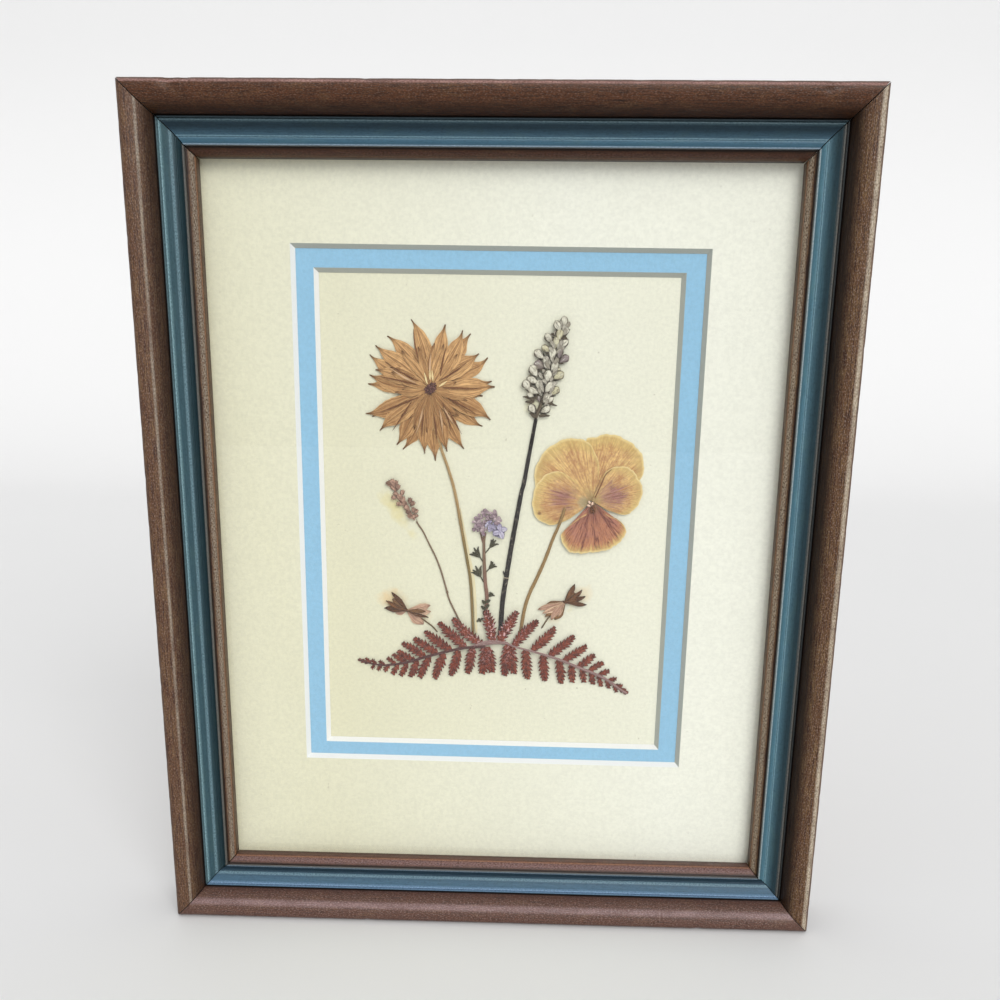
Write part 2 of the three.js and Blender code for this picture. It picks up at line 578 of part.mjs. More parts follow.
// Leaflets as [root, tip, width, teeth, over a stem].
const fronds = [
  {
    name: 'fern_left_frond',
    rachis: [[-49.2, -45.8], [-45.4, -47], [-41.9, -47.6], [-38.4, -47.6], [-31.4, -46.3], [-24.5, -44],
      [-17.5, -41.9], [-10.7, -40.3], [-5.5, -39.8], [-3, -39.5]],
    leaflets: [
      [[-4.4, -39.2], [-14.8, -29.2], 4.6, 3, true], [[-10.2, -40.1], [-19.8, -30.9], 4.4, 3, true],
      [[-15.5, -41.4], [-24.9, -34.3], 4.3, 3, true], [[-20.5, -42.6], [-29, -37.4], 4.1, 3],
      [[-24.8, -44.1], [-33.3, -39.3], 3.7, 3], [[-28.7, -45.6], [-34.7, -42.1], 3.2, 3],
      [[-31.8, -46.4], [-36.6, -43.5], 2.7, 2], [[-35.6, -47.1], [-38.6, -45], 2.1, 2],
      [[-39.6, -47.6], [-41.4, -46.2], 1.7, 1], [[-42.6, -47.4], [-44.2, -46], 1.6, 1],
      [[-2.9, -39.8], [-3.9, -50.3], 4.6, 3], [[-2.4, -39.8], [-0.2, -49.5], 3.9, 3],
      [[-7.6, -40.2], [-9.6, -50.4], 4.3, 3], [[-12.7, -41.4], [-15.7, -51.4], 4.3, 3],
      [[-17.9, -42.6], [-21.4, -52.8], 4.2, 3], [[-23.1, -44], [-26.8, -52.4], 3.8, 3],
      [[-27.6, -45.5], [-30.4, -52.1], 3.4, 3], [[-31.4, -46.7], [-33.9, -51.8], 2.9, 2],
      [[-34.6, -47.3], [-36.7, -51.4], 2.6, 2], [[-37.8, -47.5], [-39.6, -50.1], 2.1, 2],
      [[-40.7, -47.5], [-42.1, -49.7], 1.9, 1], [[-43.2, -47.4], [-44.3, -49.1], 1.6, 1],
    ],
  },
  {
    name: 'fern_right_frond',
    rachis: [[-1.4, -37.8], [0.6, -37.7], [4, -38.2], [7.6, -39.5], [15, -41.4], [22.4, -43.6],
      [29.8, -46.6], [37.3, -49.7], [41, -51.7], [44.8, -54.5], [48.4, -56.8]],
    leaflets: [
      [[-0.4, -37.8], [-3.1, -26.2], 4.9, 3, true], [[1.8, -37.8], [8.1, -26.4], 4.9, 3, true],
      [[6.9, -39], [15.6, -29.6], 4.6, 3, true], [[13.6, -40.7], [21.7, -31.9], 4.4, 3, true],
      [[19.8, -42.5], [28.7, -35.4], 4.2, 3], [[25, -44.4], [33.2, -38.9], 3.9, 3],
      [[30.2, -46.6], [36.2, -42.1], 3.5, 3], [[34.3, -48.4], [39.4, -45.1], 3, 2],
      [[37.7, -49.9], [41.7, -48.3], 2.6, 2], [[41.2, -51.9], [44.2, -51.2], 2, 1],
      [[5.2, -38.7], [4, -51], 4.2, 3], [[5.9, -38.8], [6.9, -50.1], 3.9, 3],
      [[11.3, -40.5], [12.2, -52.1], 4.4, 3], [[17.6, -42.1], [18.5, -52.7], 4.4, 3],
      [[23.2, -43.9], [24.2, -53.5], 4.1, 3], [[27.8, -45.8], [28.3, -52.9], 3.5, 3],
      [[31.7, -47.2], [32.7, -52.8], 3, 2], [[35, -48.9], [36.2, -53.6], 2.7, 2],
      [[37.6, -50], [38.9, -54.3], 2.3, 2], [[40.6, -51.5], [41.6, -54.9], 2.1, 1],
      [[43.4, -53.5], [44.4, -56.2], 1.9, 1],
    ],
  },
];

function addFern() {
  for (const { name, rachis, leaflets } of fronds) {
    const stalk = strand(rachis, 0.9, 0.8, fernHeight, 9, 4);
    const blades = leaflets.map(([root, tip, width, teeth, overStem]) =>
      leaflet({ root, tip, width, teeth, overStem }));
    grow(name, joined([stalk, ...blades]), FERN);
  }
}

// ---- The whole frame -------------------------------------------------------------------

addRails();
addSandwich();
addPoints();
addHanger();
addStarFlower();
addLavender();
addSmallLavender();
addPansy();
addPurpleBlossom();
addBells();
addFern();

picture.position.y = -(SIGHT.height / 2 + HANG_HEIGHT);
picture.position.z = RABBET_DEPTH;

const frame = new THREE.Group();
frame.rotation.x = Math.PI / 2;
frame.add(picture);

export default frame;
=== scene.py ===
"""Pressed flower frame: a profiled wooden moulding with a painted cove, a pane of glass, two
bevelled mats and a card with pressed flowers and a fern. Blender units are metres, +Z up."""

import math
import random

import bpy
import numpy as np
from mathutils import Matrix, Vector, geometry


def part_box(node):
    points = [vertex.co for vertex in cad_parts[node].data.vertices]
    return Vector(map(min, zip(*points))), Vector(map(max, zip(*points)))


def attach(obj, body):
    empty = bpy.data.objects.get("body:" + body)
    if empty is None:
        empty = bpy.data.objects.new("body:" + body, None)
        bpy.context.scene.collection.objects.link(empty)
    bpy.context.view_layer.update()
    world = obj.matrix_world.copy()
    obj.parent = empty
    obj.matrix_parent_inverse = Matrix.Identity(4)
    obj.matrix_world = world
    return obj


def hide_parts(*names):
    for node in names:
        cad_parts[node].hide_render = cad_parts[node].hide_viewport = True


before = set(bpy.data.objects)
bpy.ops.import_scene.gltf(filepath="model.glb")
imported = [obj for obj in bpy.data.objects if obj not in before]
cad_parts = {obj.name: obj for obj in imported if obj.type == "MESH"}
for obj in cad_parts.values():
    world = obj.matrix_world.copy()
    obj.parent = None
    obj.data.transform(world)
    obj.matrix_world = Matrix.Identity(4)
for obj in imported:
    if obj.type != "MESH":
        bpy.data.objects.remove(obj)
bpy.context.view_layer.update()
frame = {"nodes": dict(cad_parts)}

bl_info = {
    "name": "Pressed Flower Frame",
    "version": (1, 0, 0),
    "blender": (4, 5, 0),
    "location": "View3D > Sidebar > Flower Frame",
    "description": "Dresses a glazed frame of pressed flowers: moulding, mats, plants and studio",
    "category": "Object",
}

MM = 0.001

# Where the frame puts things: the sight opening, the glass, the card and the foot.
SIGHT_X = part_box("rail_right")[0].x
SIGHT_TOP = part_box("rail_top")[0].z
SIGHT_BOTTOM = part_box("rail_bottom")[1].z
MIDDLE_Z = (SIGHT_TOP + SIGHT_BOTTOM) / 2
GLASS_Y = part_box("glass_pane")[0].y
CARD_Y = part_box("mount_card")[0].y
FOOT_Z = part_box("rail_bottom")[0].z


def tone(red, green, blue):
    """A colour given as screen values from 0 to 255, as linear light."""
    def linear(value):
        value /= 255
        return value / 12.92 if value <= 0.04045 else ((value + 0.055) / 1.055) ** 2.4
    return tuple(linear(value) for value in (red, green, blue))


def shaded(shade, factor):
    """A colour made darker or paler."""
    return tuple(min(1, factor * part) for part in shade)


def colour(name, description, red, green, blue):
    """A colour setting, given as screen values."""
    return bpy.props.FloatVectorProperty(
        name=name, description=description, subtype="COLOR", size=3, min=0, max=1,
        default=tone(red, green, blue))


def length_mm(name, description, size):
    """A length setting, given in millimetres."""
    return bpy.props.FloatProperty(
        name=name, description=description, default=size * MM, unit="LENGTH", precision=5)


# ---- Settings ---------------------------------------------------------------------------


class MouldingSettings(bpy.types.PropertyGroup):
    wood: colour("Wood", "Stained wood of the outer round and the lip", 100, 60, 36)
    wood_gold: colour("Golden Wood", "Lighter olive-gold streaks in the grain", 142, 112, 74)
    # wood_dark also colours the painted shade in the quirks, beside the cove and on the lip, and the darker
    # outer side.
    wood_dark: colour("Dark Wood", "Stain that gathers in the hollows and along edges", 40, 26, 18)
    # Sheen is a painted highlight: the pale shine laid over the crown of each rail.
    sheen: colour("Sheen", "Worn silvery pink rubbing on the raised parts", 186, 164, 152)
    paint: colour("Paint", "Teal paint of the cove", 56, 83, 92)
    paint_blue: colour("Blue Paint", "Bluer paint of the top and bottom rails", 58, 86, 110)
    # A painted highlight: the pale line where the cove catches the light.
    paint_highlight: colour("Thin Paint", "Paint worn thin where the cove catches the light", 142, 176, 188)
    raw_wood: colour("Raw Wood", "Unfinished back of the rails", 176, 138, 96)
    waviness: length_mm("Waviness", "How far the hand-planed faces wander", 0.05)
    steps_along: bpy.props.IntProperty(
        name="Steps", description="Divisions along each rail", default=280, min=20, max=600)


class MatSettings(bpy.types.PropertyGroup):
    cream: colour("Cream", "Face paper of the outer mat", 244, 245, 230)
    blue: colour("Blue", "Face paper of the inner mat", 148, 197, 226)
    core: colour("Core", "White core where the windows are cut", 236, 237, 233)
    # Painted shade: the core on the cuts that face down or left, away from the light.
    core_shade: colour("Greyed Core", "Core of the cuts that face down or left", 172, 176, 167)
    card: colour("Card", "The card that carries the flowers", 240, 240, 220)
    foxing: colour("Foxing", "Yellow stains where plants have bled into the card", 224, 212, 150)
    rust: colour("Rust", "Brown stains of the nodding flowers", 230, 200, 146)
    board: colour("Board", "Backing board", 138, 110, 78)


class PlantSettings(bpy.types.PropertyGroup):
    petal_tan: colour("Tan Petals", "Body of the large dry flower's petals", 230, 184, 126)
    petal_brown: colour("Petal Folds", "Folds, edges and tips of those petals", 138, 92, 52)
    straw: colour("Straw Stem", "Dry straw-coloured stems", 190, 160, 112)
    floret: colour("Pale Florets", "Bleached calyxes of the tall spike", 224, 220, 200)
    # floret_dark is also the painted shade on the sides of the calyxes that turn away.
    floret_dark: colour("Floret Edges", "Dark edges and bracts of the tall spike", 78, 68, 56)
    dark_stem: colour("Dark Stem", "Black-brown stem of the tall spike", 32, 27, 22)
    pansy: colour("Pansy", "Yellow petals of the pansy", 236, 200, 132)
    blotch: colour("Blotch", "Mauve blotches of the pansy", 164, 112, 112)
    lilac: colour("Lilac", "Small purple blossom", 128, 116, 156)
    brown: colour("Brown Florets", "Small brown spike", 138, 98, 84)
    bell: colour("Bell", "Pale lobes of the nodding flowers", 240, 206, 172)
    bell_dark: colour("Dark Bell", "Dark lobes of the nodding flowers", 66, 38, 24)
    fern: colour("Fern", "Red-brown fern", 130, 58, 38)
    fern_dark: colour("Fern Teeth", "Darker ribs and teeth of the fern", 74, 34, 24)


class StudioSettings(bpy.types.PropertyGroup):
    floor: colour("Floor", "Pale floor and backdrop", 234, 234, 234)
    key: bpy.props.FloatProperty(
        name="Key", description="Strength of the soft light from the upper right", default=1.7)
    fill: bpy.props.FloatProperty(
        name="Fill", description="Strength of the light from all round", default=0.74)
    lens: length_mm("Lens", "Focal length of the camera", 34.2)


SETTINGS = {
    "frame_moulding": MouldingSettings,
    "frame_mats": MatSettings,
    "frame_plants": PlantSettings,
    "frame_studio": StudioSettings,
}


# ---- Materials --------------------------------------------------------------------------


class Finish:
    """A node material, built step by step. Each method adds a node and returns its output."""

    def __init__(self, name, **sockets):
        self.material = bpy.data.materials.new(name)
        self.material.use_nodes = True
        self.tree = self.material.node_tree
        self.shader = self.tree.nodes["Principled BSDF"]
        self.set(**sockets)

    def feed(self, socket, value):
        """Links another node's output to a socket, or sets the socket itself."""
        if isinstance(value, bpy.types.NodeSocket):
            self.tree.links.new(value, socket)
        elif hasattr(value, "__len__") and socket.type == "RGBA" and len(value) == 3:
            socket.default_value = (*value, 1)
        else:
            socket.default_value = value

    def add(self, kind, inputs, output=0, **settings):
        node = self.tree.nodes.new(kind)
        for key, value in settings.items():
            setattr(node, key, value)
        for key, value in inputs.items():
            self.feed(node.inputs[key], value)
        return node.outputs[output]

    def set(self, **sockets):
        """Feeds the surface shader: base_color, roughness, normal and so on."""
        for key, value in sockets.items():
            self.feed(self.shader.inputs[key.replace("_", " ").title().replace("Ior", "IOR")], value)
        return self

    def place(self):
        """Where on the frame a point is."""
        return self.add("ShaderNodeTexCoord", {}, "Object")

    def along(self):
        """Where on its own petal, stem or rail a point is."""
        return self.add("ShaderNodeTexCoord", {}, "UV")

    def stretched(self, along, across, apart=0.0):
        """The UV map stretched along and across. apart moves petals of other shades elsewhere."""
        uv = self.along()
        parts = {0: self.maths("MULTIPLY", self.split(uv, "X"), along),
                 1: self.maths("MULTIPLY", self.split(uv, "Y"), across)}
        if apart:
            parts[2] = self.maths("MULTIPLY", self.mark("shade"), apart)
        return self.add("ShaderNodeCombineXYZ", parts)

    def split(self, vector, axis):
        return self.add("ShaderNodeSeparateXYZ", {0: vector}, axis)

    def moved(self, vector, scale=(1, 1, 1), shift=(0, 0, 0)):
        return self.add("ShaderNodeMapping", {"Vector": vector, "Scale": scale, "Location": shift})

    def noise(self, vector, scale, detail=3, roughness=0.5, distortion=0):
        return self.add("ShaderNodeTexNoise", {
            "Vector": vector, "Scale": scale, "Detail": detail, "Roughness": roughness,
            "Distortion": distortion})

    def mark(self, name):
        """A number stored in the mesh, such as the shade of each petal."""
        return self.add("ShaderNodeAttribute", {}, "Fac", attribute_name=name)

    def range(self, value, low, high, to_low=0, to_high=1):
        """Carries a value from one span to another, and holds it at the ends."""
        return self.add("ShaderNodeMapRange", {
            "Value": value, "From Min": low, "From Max": high, "To Min": to_low, "To Max": to_high})

    def maths(self, operation, first, second=0.0):
        return self.add("ShaderNodeMath", {0: first, 1: second}, operation=operation)

    def gap(self, value, middle):
        """How far a value is from its middle, either way."""
        return self.maths("ABSOLUTE", self.maths("SUBTRACT", value, middle))

    def from_midline(self, v):
        """0 on the midline of a petal and 1 at its edges."""
        return self.gap(self.maths("MULTIPLY", v, 2.0), 1.0)

    def distance(self, vector, point):
        return self.add("ShaderNodeVectorMath", {0: vector, 1: point}, "Value", operation="DISTANCE")

    def mix(self, share, first, second, blend="MIX"):
        node = self.tree.nodes.new("ShaderNodeMix")
        node.data_type = "RGBA"
        node.blend_type = blend
        for index, value in ((0, share), (6, first), (7, second)):
            self.feed(node.inputs[index], value)
        return node.outputs[2]

    def over(self, base, tint, field, low, high, strength=1):
        """Lays a tint over the base as a field goes from low to high."""
        return self.mix(self.range(field, low, high, 0, strength), base, tint)

    def ramp(self, value, *stops):
        """Colours along a value, each stop a place and a colour or a grey."""
        node = self.tree.nodes.new("ShaderNodeValToRGB")
        self.feed(node.inputs[0], value)
        elements = node.color_ramp.elements
        while len(elements) < len(stops):
            elements.new(0.5)
        for element, (where, shade) in zip(elements, stops):
            element.position = where
            element.color = (*shade, 1) if hasattr(shade, "__len__") else (shade, shade, shade, 1)
        return node.outputs[0]

    def relief(self, height, strength, depth, normal=None):
        """Bumps from a height field, on top of another relief if one is given."""
        inputs = {"Height": height, "Strength": strength, "Distance": depth}
        if normal is not None:
            inputs["Normal"] = normal
        return self.add("ShaderNodeBump", inputs)

    def on(self, *pieces):
        """Makes this the only material of the pieces."""
        for piece in pieces:
            piece.data.materials.clear()
            piece.data.materials.append(self.material)


# ---- Modelling --------------------------------------------------------------------------

MERGE_DISTANCE = 1e-7
LINE_STEPS = 16      # from one point of a line to the next
STEM_STEP_MM = 0.45
STEM_SIDES = 16


def on_card(x, y, lift):
    """A place in the picture, in millimetres from the middle of the sight opening and above
    the card, as X, Y and Z in metres."""
    return x * MM, CARD_Y - lift * MM, MIDDLE_Z + y * MM


def deselect():
    bpy.ops.object.select_all(action="DESELECT")


def activate(piece):
    deselect()
    piece.select_set(True)
    bpy.context.view_layer.objects.active = piece


def shaped_grid(name, along, across, place, shade=0.5):
    """A grid whose points go to place(u, v), with u from 0 to 1 along it and v from -1 to 1
    across. Its UV map keeps u and v, and its shade marks it out from its neighbours."""
    deselect()
    bpy.ops.mesh.primitive_grid_add(x_subdivisions=along, y_subdivisions=across, size=2)
    piece = bpy.context.object
    piece.name = piece.data.name = name
    points = np.empty(3 * len(piece.data.vertices))
    piece.data.vertices.foreach_get("co", points)
    u, v = (points[0::3] + 1) / 2, points[1::3]
    x, y, z = place(u, v)
    points[0::3], points[1::3], points[2::3] = x, y, z
    piece.data.vertices.foreach_set("co", points)
    mark = piece.data.attributes.new("shade", "FLOAT", "POINT")
    mark.data.foreach_set("value", np.full(len(piece.data.vertices), shade, dtype=np.float32))
    piece.data.update()
    return piece


def joined(pieces, name):
    deselect()
    for piece in pieces:
        piece.select_set(True)
    bpy.context.view_layer.objects.active = pieces[0]
    if len(pieces) > 1:
        bpy.ops.object.join()
    whole = bpy.context.view_layer.objects.active
    whole.name = whole.data.name = name
    return whole


def merged(piece, fill=False, outwards=True):
    """Merges seams and poles, closes open ends if asked, and faces a closed shape outwards."""
    activate(piece)
    bpy.ops.object.mode_set(mode="EDIT")
    bpy.ops.mesh.select_all(action="SELECT")
    bpy.ops.mesh.remove_doubles(threshold=MERGE_DISTANCE)
    if fill:
        bpy.ops.mesh.fill_holes(sides=0)
        bpy.ops.mesh.select_all(action="SELECT")
    if outwards:
        bpy.ops.mesh.normals_make_consistent(inside=False)
    bpy.ops.object.mode_set(mode="OBJECT")
    return piece


def apply(piece, kind, **settings):
    """Adds a modifier and applies it."""
    activate(piece)
    modifier = piece.modifiers.new(kind.title(), kind)
    for key, value in settings.items():
        setattr(modifier, key, value)
    bpy.ops.object.modifier_apply(modifier=modifier.name)
    return piece


def thickened(piece, thickness_mm):
    """Gives a sheet its thickness, towards the card."""
    return apply(piece, "SOLIDIFY", thickness=thickness_mm * MM, offset=-1)


def smooth(piece, degrees=50):
    activate(piece)
    bpy.ops.object.shade_smooth_by_angle(angle=math.radians(degrees))
    return piece


def hand_over(piece, slot, *nodes):
    """Puts a finished piece on the frame's body, in place of its solids."""
    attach(piece, "root")
    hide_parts(*nodes)
    return piece


class Line:
    """A smooth line through points in the picture, followed by a share of its length."""

    def __init__(self, points):
        knots = [Vector((x, y, 0)) for x, y in points]
        knots = [2 * knots[0] - knots[1]] + knots + [2 * knots[-1] - knots[-2]]
        line = []
        for before, start, end, after in zip(knots, knots[1:], knots[2:], knots[3:]):
            handles = start + (end - before) / 6, end - (after - start) / 6
            line += geometry.interpolate_bezier(start, *handles, end, LINE_STEPS + 1)[:-1]
        line.append(knots[-2].copy())
        self.xy = np.array([(p.x, p.y) for p in line])
        steps = np.hypot(*np.diff(self.xy, axis=0).T)
        self.at = np.concatenate([[0], np.cumsum(steps)])
        self.length = self.at[-1]

    def point(self, share):
        where = np.clip(share, 0, 1) * self.length
        return np.interp(where, self.at, self.xy[:, 0]), np.interp(where, self.at, self.xy[:, 1])

    def heading(self, share):
        """Unit vector along the line."""
        (x0, y0), (x1, y1) = self.point(share - 0.01), self.point(share + 0.01)
        size = np.maximum(np.hypot(x1 - x0, y1 - y0), 1e-9)
        return (x1 - x0) / size, (y1 - y0) / size


def ripple(value, seed, waves=4, base=1.0):
    """A smooth wandering between about -1 and 1."""
    draw = random.Random(seed)
    total = np.zeros_like(value, dtype=float)
    for wave in range(1, waves + 1):
        pace = value * base * wave * draw.uniform(0.7, 1.3)
        total += np.sin(pace + draw.uniform(0, 2 * math.pi)) / wave
    return total / 1.8


def stem(name, points, width, height, lift, taper=(0.6, 0.6), ribs=0.0, seed=1):
    """A flattened stem along a line on the card, closed at both ends. lift may be a function
    of x. taper is the share of its width at each end, and ribs the depth of its grooves."""
    line = Line(points)
    steps = max(12, int(line.length / STEM_STEP_MM))

    def place(u, v):
        angle = math.pi * v
        end = np.clip(np.minimum(u, 1 - u) * line.length / (0.5 * width), 0, 1) ** 0.5
        size = np.interp(u, (0, 0.5, 1), (taper[0], 1, taper[1])) * end
        size = size * (1 + 0.05 * ripple(u * line.length, seed)) * (1 + ribs * np.cos(5 * angle + 0.7))
        x, y = line.point(u)
        along_x, along_y = line.heading(u)
        side = np.cos(angle) * size * width / 2
        rise = np.sin(angle) * size * height / 2
        base = lift(x) if callable(lift) else lift
        return on_card(x - along_y * side, y + along_x * side, base + height / 2 + rise)

    return merged(shaped_grid(name, steps, STEM_SIDES, place))


# ---- Moulding ---------------------------------------------------------------------------


def arc(centre, radii, start, end, count):
    """Points on an ellipse, without the first one, between two angles in degrees."""
    angles = np.radians(np.linspace(start, end, count + 1)[1:])
    return [(centre[0] + radii[0] * math.cos(a), centre[1] + radii[1] * math.sin(a)) for a in angles]


def sweep(start, pull, end, count):
    """Points on a quadratic curve, without the first one."""
    return [tuple((1 - t) ** 2 * a + 2 * t * (1 - t) * b + t * t * c for a, b, c in zip(start, pull, end))
            for t in np.linspace(0, 1, count + 1)[1:]]


def between(start, end, count):
    return [tuple(a + (b - a) * t for a, b in zip(start, end)) for t in np.linspace(0, 1, count + 1)[1:]]


# The section in millimetres: how far out from the sight edge, and how high above the glass.
# Each stretch starts where the one before it ends.
MOULDING_STRETCHES = (
    ("back", [(6.75, -11)] + between((6.75, -11), (20.6, -11), 3)),
    ("outer_side", between((20.6, -11), (20.6, 10.6), 8)),
    ("outer_edge", arc((18.4, 10.6), (2.2, 3.1), 0, 90, 9)),
    ("flank", arc((18.4, 6.4), (7.2, 7.3), 90, 176, 22) + [(11.15, 6.75)]),
    ("bead", arc((10.85, 6.75), (0.3, 0.28), 0, 180, 5) + [(10.45, 6.2), (10.3, 6.3)]
        + arc((9.98, 6.62), (0.3, 0.26), 0, 180, 5)),
    ("cove", sweep((9.68, 6.62), (7.4, 4.5), (6.15, 4.4), 12)),
    ("ridge", arc((5.85, 4.4), (0.3, 0.3), 0, 180, 6)),
    ("rise", sweep((5.55, 4.4), (4.2, 4.5), (3.2, 6.75), 12)),
    ("fillet", arc((2.95, 6.75), (0.25, 0.2), 0, 180, 5) + [(2.5, 5.85)]),
    ("lip", sweep((2.5, 5.85), (1.0, 5.3), (0.28, 3.7), 9) + [(0.08, 3.3)]),
    ("sight_wall", between((0.02, 3.2), (0, 0.2), 4)),
    ("rabbet", between((0, 0.2), (6.75, 0.2), 2) + between((6.75, 0.2), (6.75, -11), 3)),
)
MITRE_GAP_MM = 0.3
DENTED_ABOVE_MM = 8   # dents stay on the crown
WORN_REACH_MM = 5     # round the section from the outer edge
GIRTH_UNIT_MM = 100   # one unit of the rails' UV map


def moulding_section():
    """The outline as an array, its running length, and where each stretch starts and ends."""
    points, ends = [], {}
    for name, stretch in MOULDING_STRETCHES:
        points += stretch
        ends[name] = len(points) - 1
    outline = np.array(points)
    girth = np.concatenate([[0], np.cumsum(np.hypot(*np.diff(outline, axis=0).T))])
    return outline, girth, {name: girth[index] for name, index in ends.items()}


def rail_place(side, along, out, high):
    """A point of a rail, from millimetres along it, out from the sight edge and high."""
    y = GLASS_Y - high * MM
    if side == "top":
        return along * MM, y, SIGHT_TOP + out * MM
    if side == "bottom":
        return -along * MM, y, SIGHT_BOTTOM - out * MM
    if side == "left":
        return -SIGHT_X - out * MM, y, MIDDLE_Z + along * MM
    return SIGHT_X + out * MM, y, MIDDLE_Z - along * MM


# Dents and chips: along the rail from its middle, out, radius and depth, in millimetres.
DENTS = {
    "top": [(-99.5, 18.8, 2.6, 1.1), (-94.5, 19.9, 1.6, 0.7), (-88, 19.4, 1.2, 0.35),
            (97.5, 17.8, 1.6, 0.5), (100.5, 18.5, 1.1, 0.4), (12, 20.2, 0.9, 0.3), (-40, 20.3, 0.8, 0.3)],
    "right": [(33, 20.0, 0.9, 0.35), (-64, 20.1, 1, 0.3), (88, 20.2, 1.2, 0.4)],
    "bottom": [(45, 19.9, 1.1, 0.4), (-20, 20.2, 0.9, 0.3), (-76, 19.8, 1.3, 0.4)],
    "left": [(-52, 20.1, 1, 0.35), (20, 20.0, 0.8, 0.3), (95, 19.8, 1.2, 0.4)],
}


# What sets the rails apart, much of it painted light and shade. gold: how golden the wood is, and haze:
# how much painted grey shine lies over it. stripe: how far out the painted highlight stripe runs, its
# reach round the section, its strength, its colour and how strongly its painted shine spreads round it.
# blue: how blue the paint is. slopes: the painted light and shade on the cove's outer and inner side.
# gleam: how far out from the ridge its painted highlight runs. bead and fillet: the colours of those
# lines, the pale ones painted highlights and the others the lines' own colour. hollow: how much painted
# shade lies beside the cove. lip: the strength of the painted highlight on it and of its painted shade.
RAILS = {
    "top": {
        "gold": 0.0, "haze": 0.0, "stripe": (19.3, 0.007, 0.8, (186, 144, 138), 0.2), "blue": 0.4,
        "slopes": (0.4, 1.45), "gleam": 0.0, "bead": (98, 122, 130), "fillet": (150, 172, 190),
        "hollow": 0.5, "lip": (0.1, 0.8)},
    "right": {
        "gold": 0.8, "haze": 0.0, "stripe": (18.7, 0.011, 1.0, (206, 194, 172), 0.5), "blue": 0.1,
        "slopes": (0.5, 1.9), "gleam": 0.0, "bead": (118, 112, 104), "fillet": (176, 188, 190),
        "hollow": 0.8, "lip": (0.6, 0.45)},
    "bottom": {
        "gold": 0.0, "haze": 0.32, "stripe": (14.4, 0.016, 0.4, (192, 162, 166), 0.4), "blue": 0.6,
        "slopes": (1.25, 0.45), "gleam": 0.015, "bead": (140, 172, 206), "fillet": (96, 118, 136),
        "hollow": 0.1, "lip": (0.3, 0.35)},
    "left": {
        "gold": 0.7, "haze": 0.1, "stripe": (14.9, 0.0065, 0.6, (184, 176, 160), 0.35), "blue": 0.0,
        "slopes": (0.95, 0.45), "gleam": 0.019, "bead": (150, 186, 194), "fillet": (106, 102, 96),
        "hollow": 0.6, "lip": (0.6, 0.45)},
}


def moulding_rail(side, settings):
    """One rail, swept along its side of the frame, mitred, waved and dented."""
    outline, girth, ends = moulding_section()
    half_sight = (SIGHT_X if side in ("top", "bottom") else (SIGHT_TOP - SIGHT_BOTTOM) / 2) / MM
    half = half_sight - MITRE_GAP_MM * math.sqrt(0.5)
    index = np.arange(len(girth))
    seed = 10 * list(DENTS).index(side)
    found = {}

    def place(u, v):
        step = (v + 1) / 2 * (len(girth) - 1)
        out = np.interp(step, index, outline[:, 0])
        high = np.interp(step, index, outline[:, 1])
        run = np.interp(step, index, girth)
        along = (2 * u - 1) * (half + out)
        shown = np.clip((high - 2) / 3, 0, 1)
        wander = settings.waviness / MM * shown
        high = high + wander * ripple(along, seed, 5, 0.05) * 0.8
        high = high + 0.3 * wander * ripple(along, seed + 3, 4, 0.9)
        for where, dent_out, radius, depth in DENTS[side]:
            far = np.hypot((along - where) * 0.8, out - dent_out)
            far = far + 0.3 * np.abs(ripple(along, seed + 5, 4, 3))
            high = high - depth * np.exp(-(far / radius) ** 2 * 2) * (high > DENTED_ABOVE_MM)
        wear = np.clip(1 - np.abs(run - ends["outer_side"]) / WORN_REACH_MM, 0, 1)
        out = out - 0.12 * wear * np.maximum(ripple(along, seed + 7, 6, 0.35), 0)
        found.update(u=along / GIRTH_UNIT_MM + seed, v=run / GIRTH_UNIT_MM)
        return rail_place(side, along, out, high)

    piece = shaped_grid("moulding_" + side, settings.steps_along, len(girth) - 1, place)
    corners = np.empty(len(piece.data.loops), dtype=np.int32)
    piece.data.loops.foreach_get("vertex_index", corners)
    flat = np.stack([found["u"][corners], found["v"][corners]], axis=1).ravel()
    piece.data.uv_layers.active.data.foreach_set("uv", flat)
    return smooth(merged(piece, fill=True), 40)


def crown_girth(out):
    """The running length at which the crown is this far out from the sight edge."""
    outline, girth, ends = moulding_section()
    crown = (girth >= ends["outer_side"]) & (girth <= ends["flank"])
    return np.interp(-out, -outline[crown, 0], girth[crown]).item()


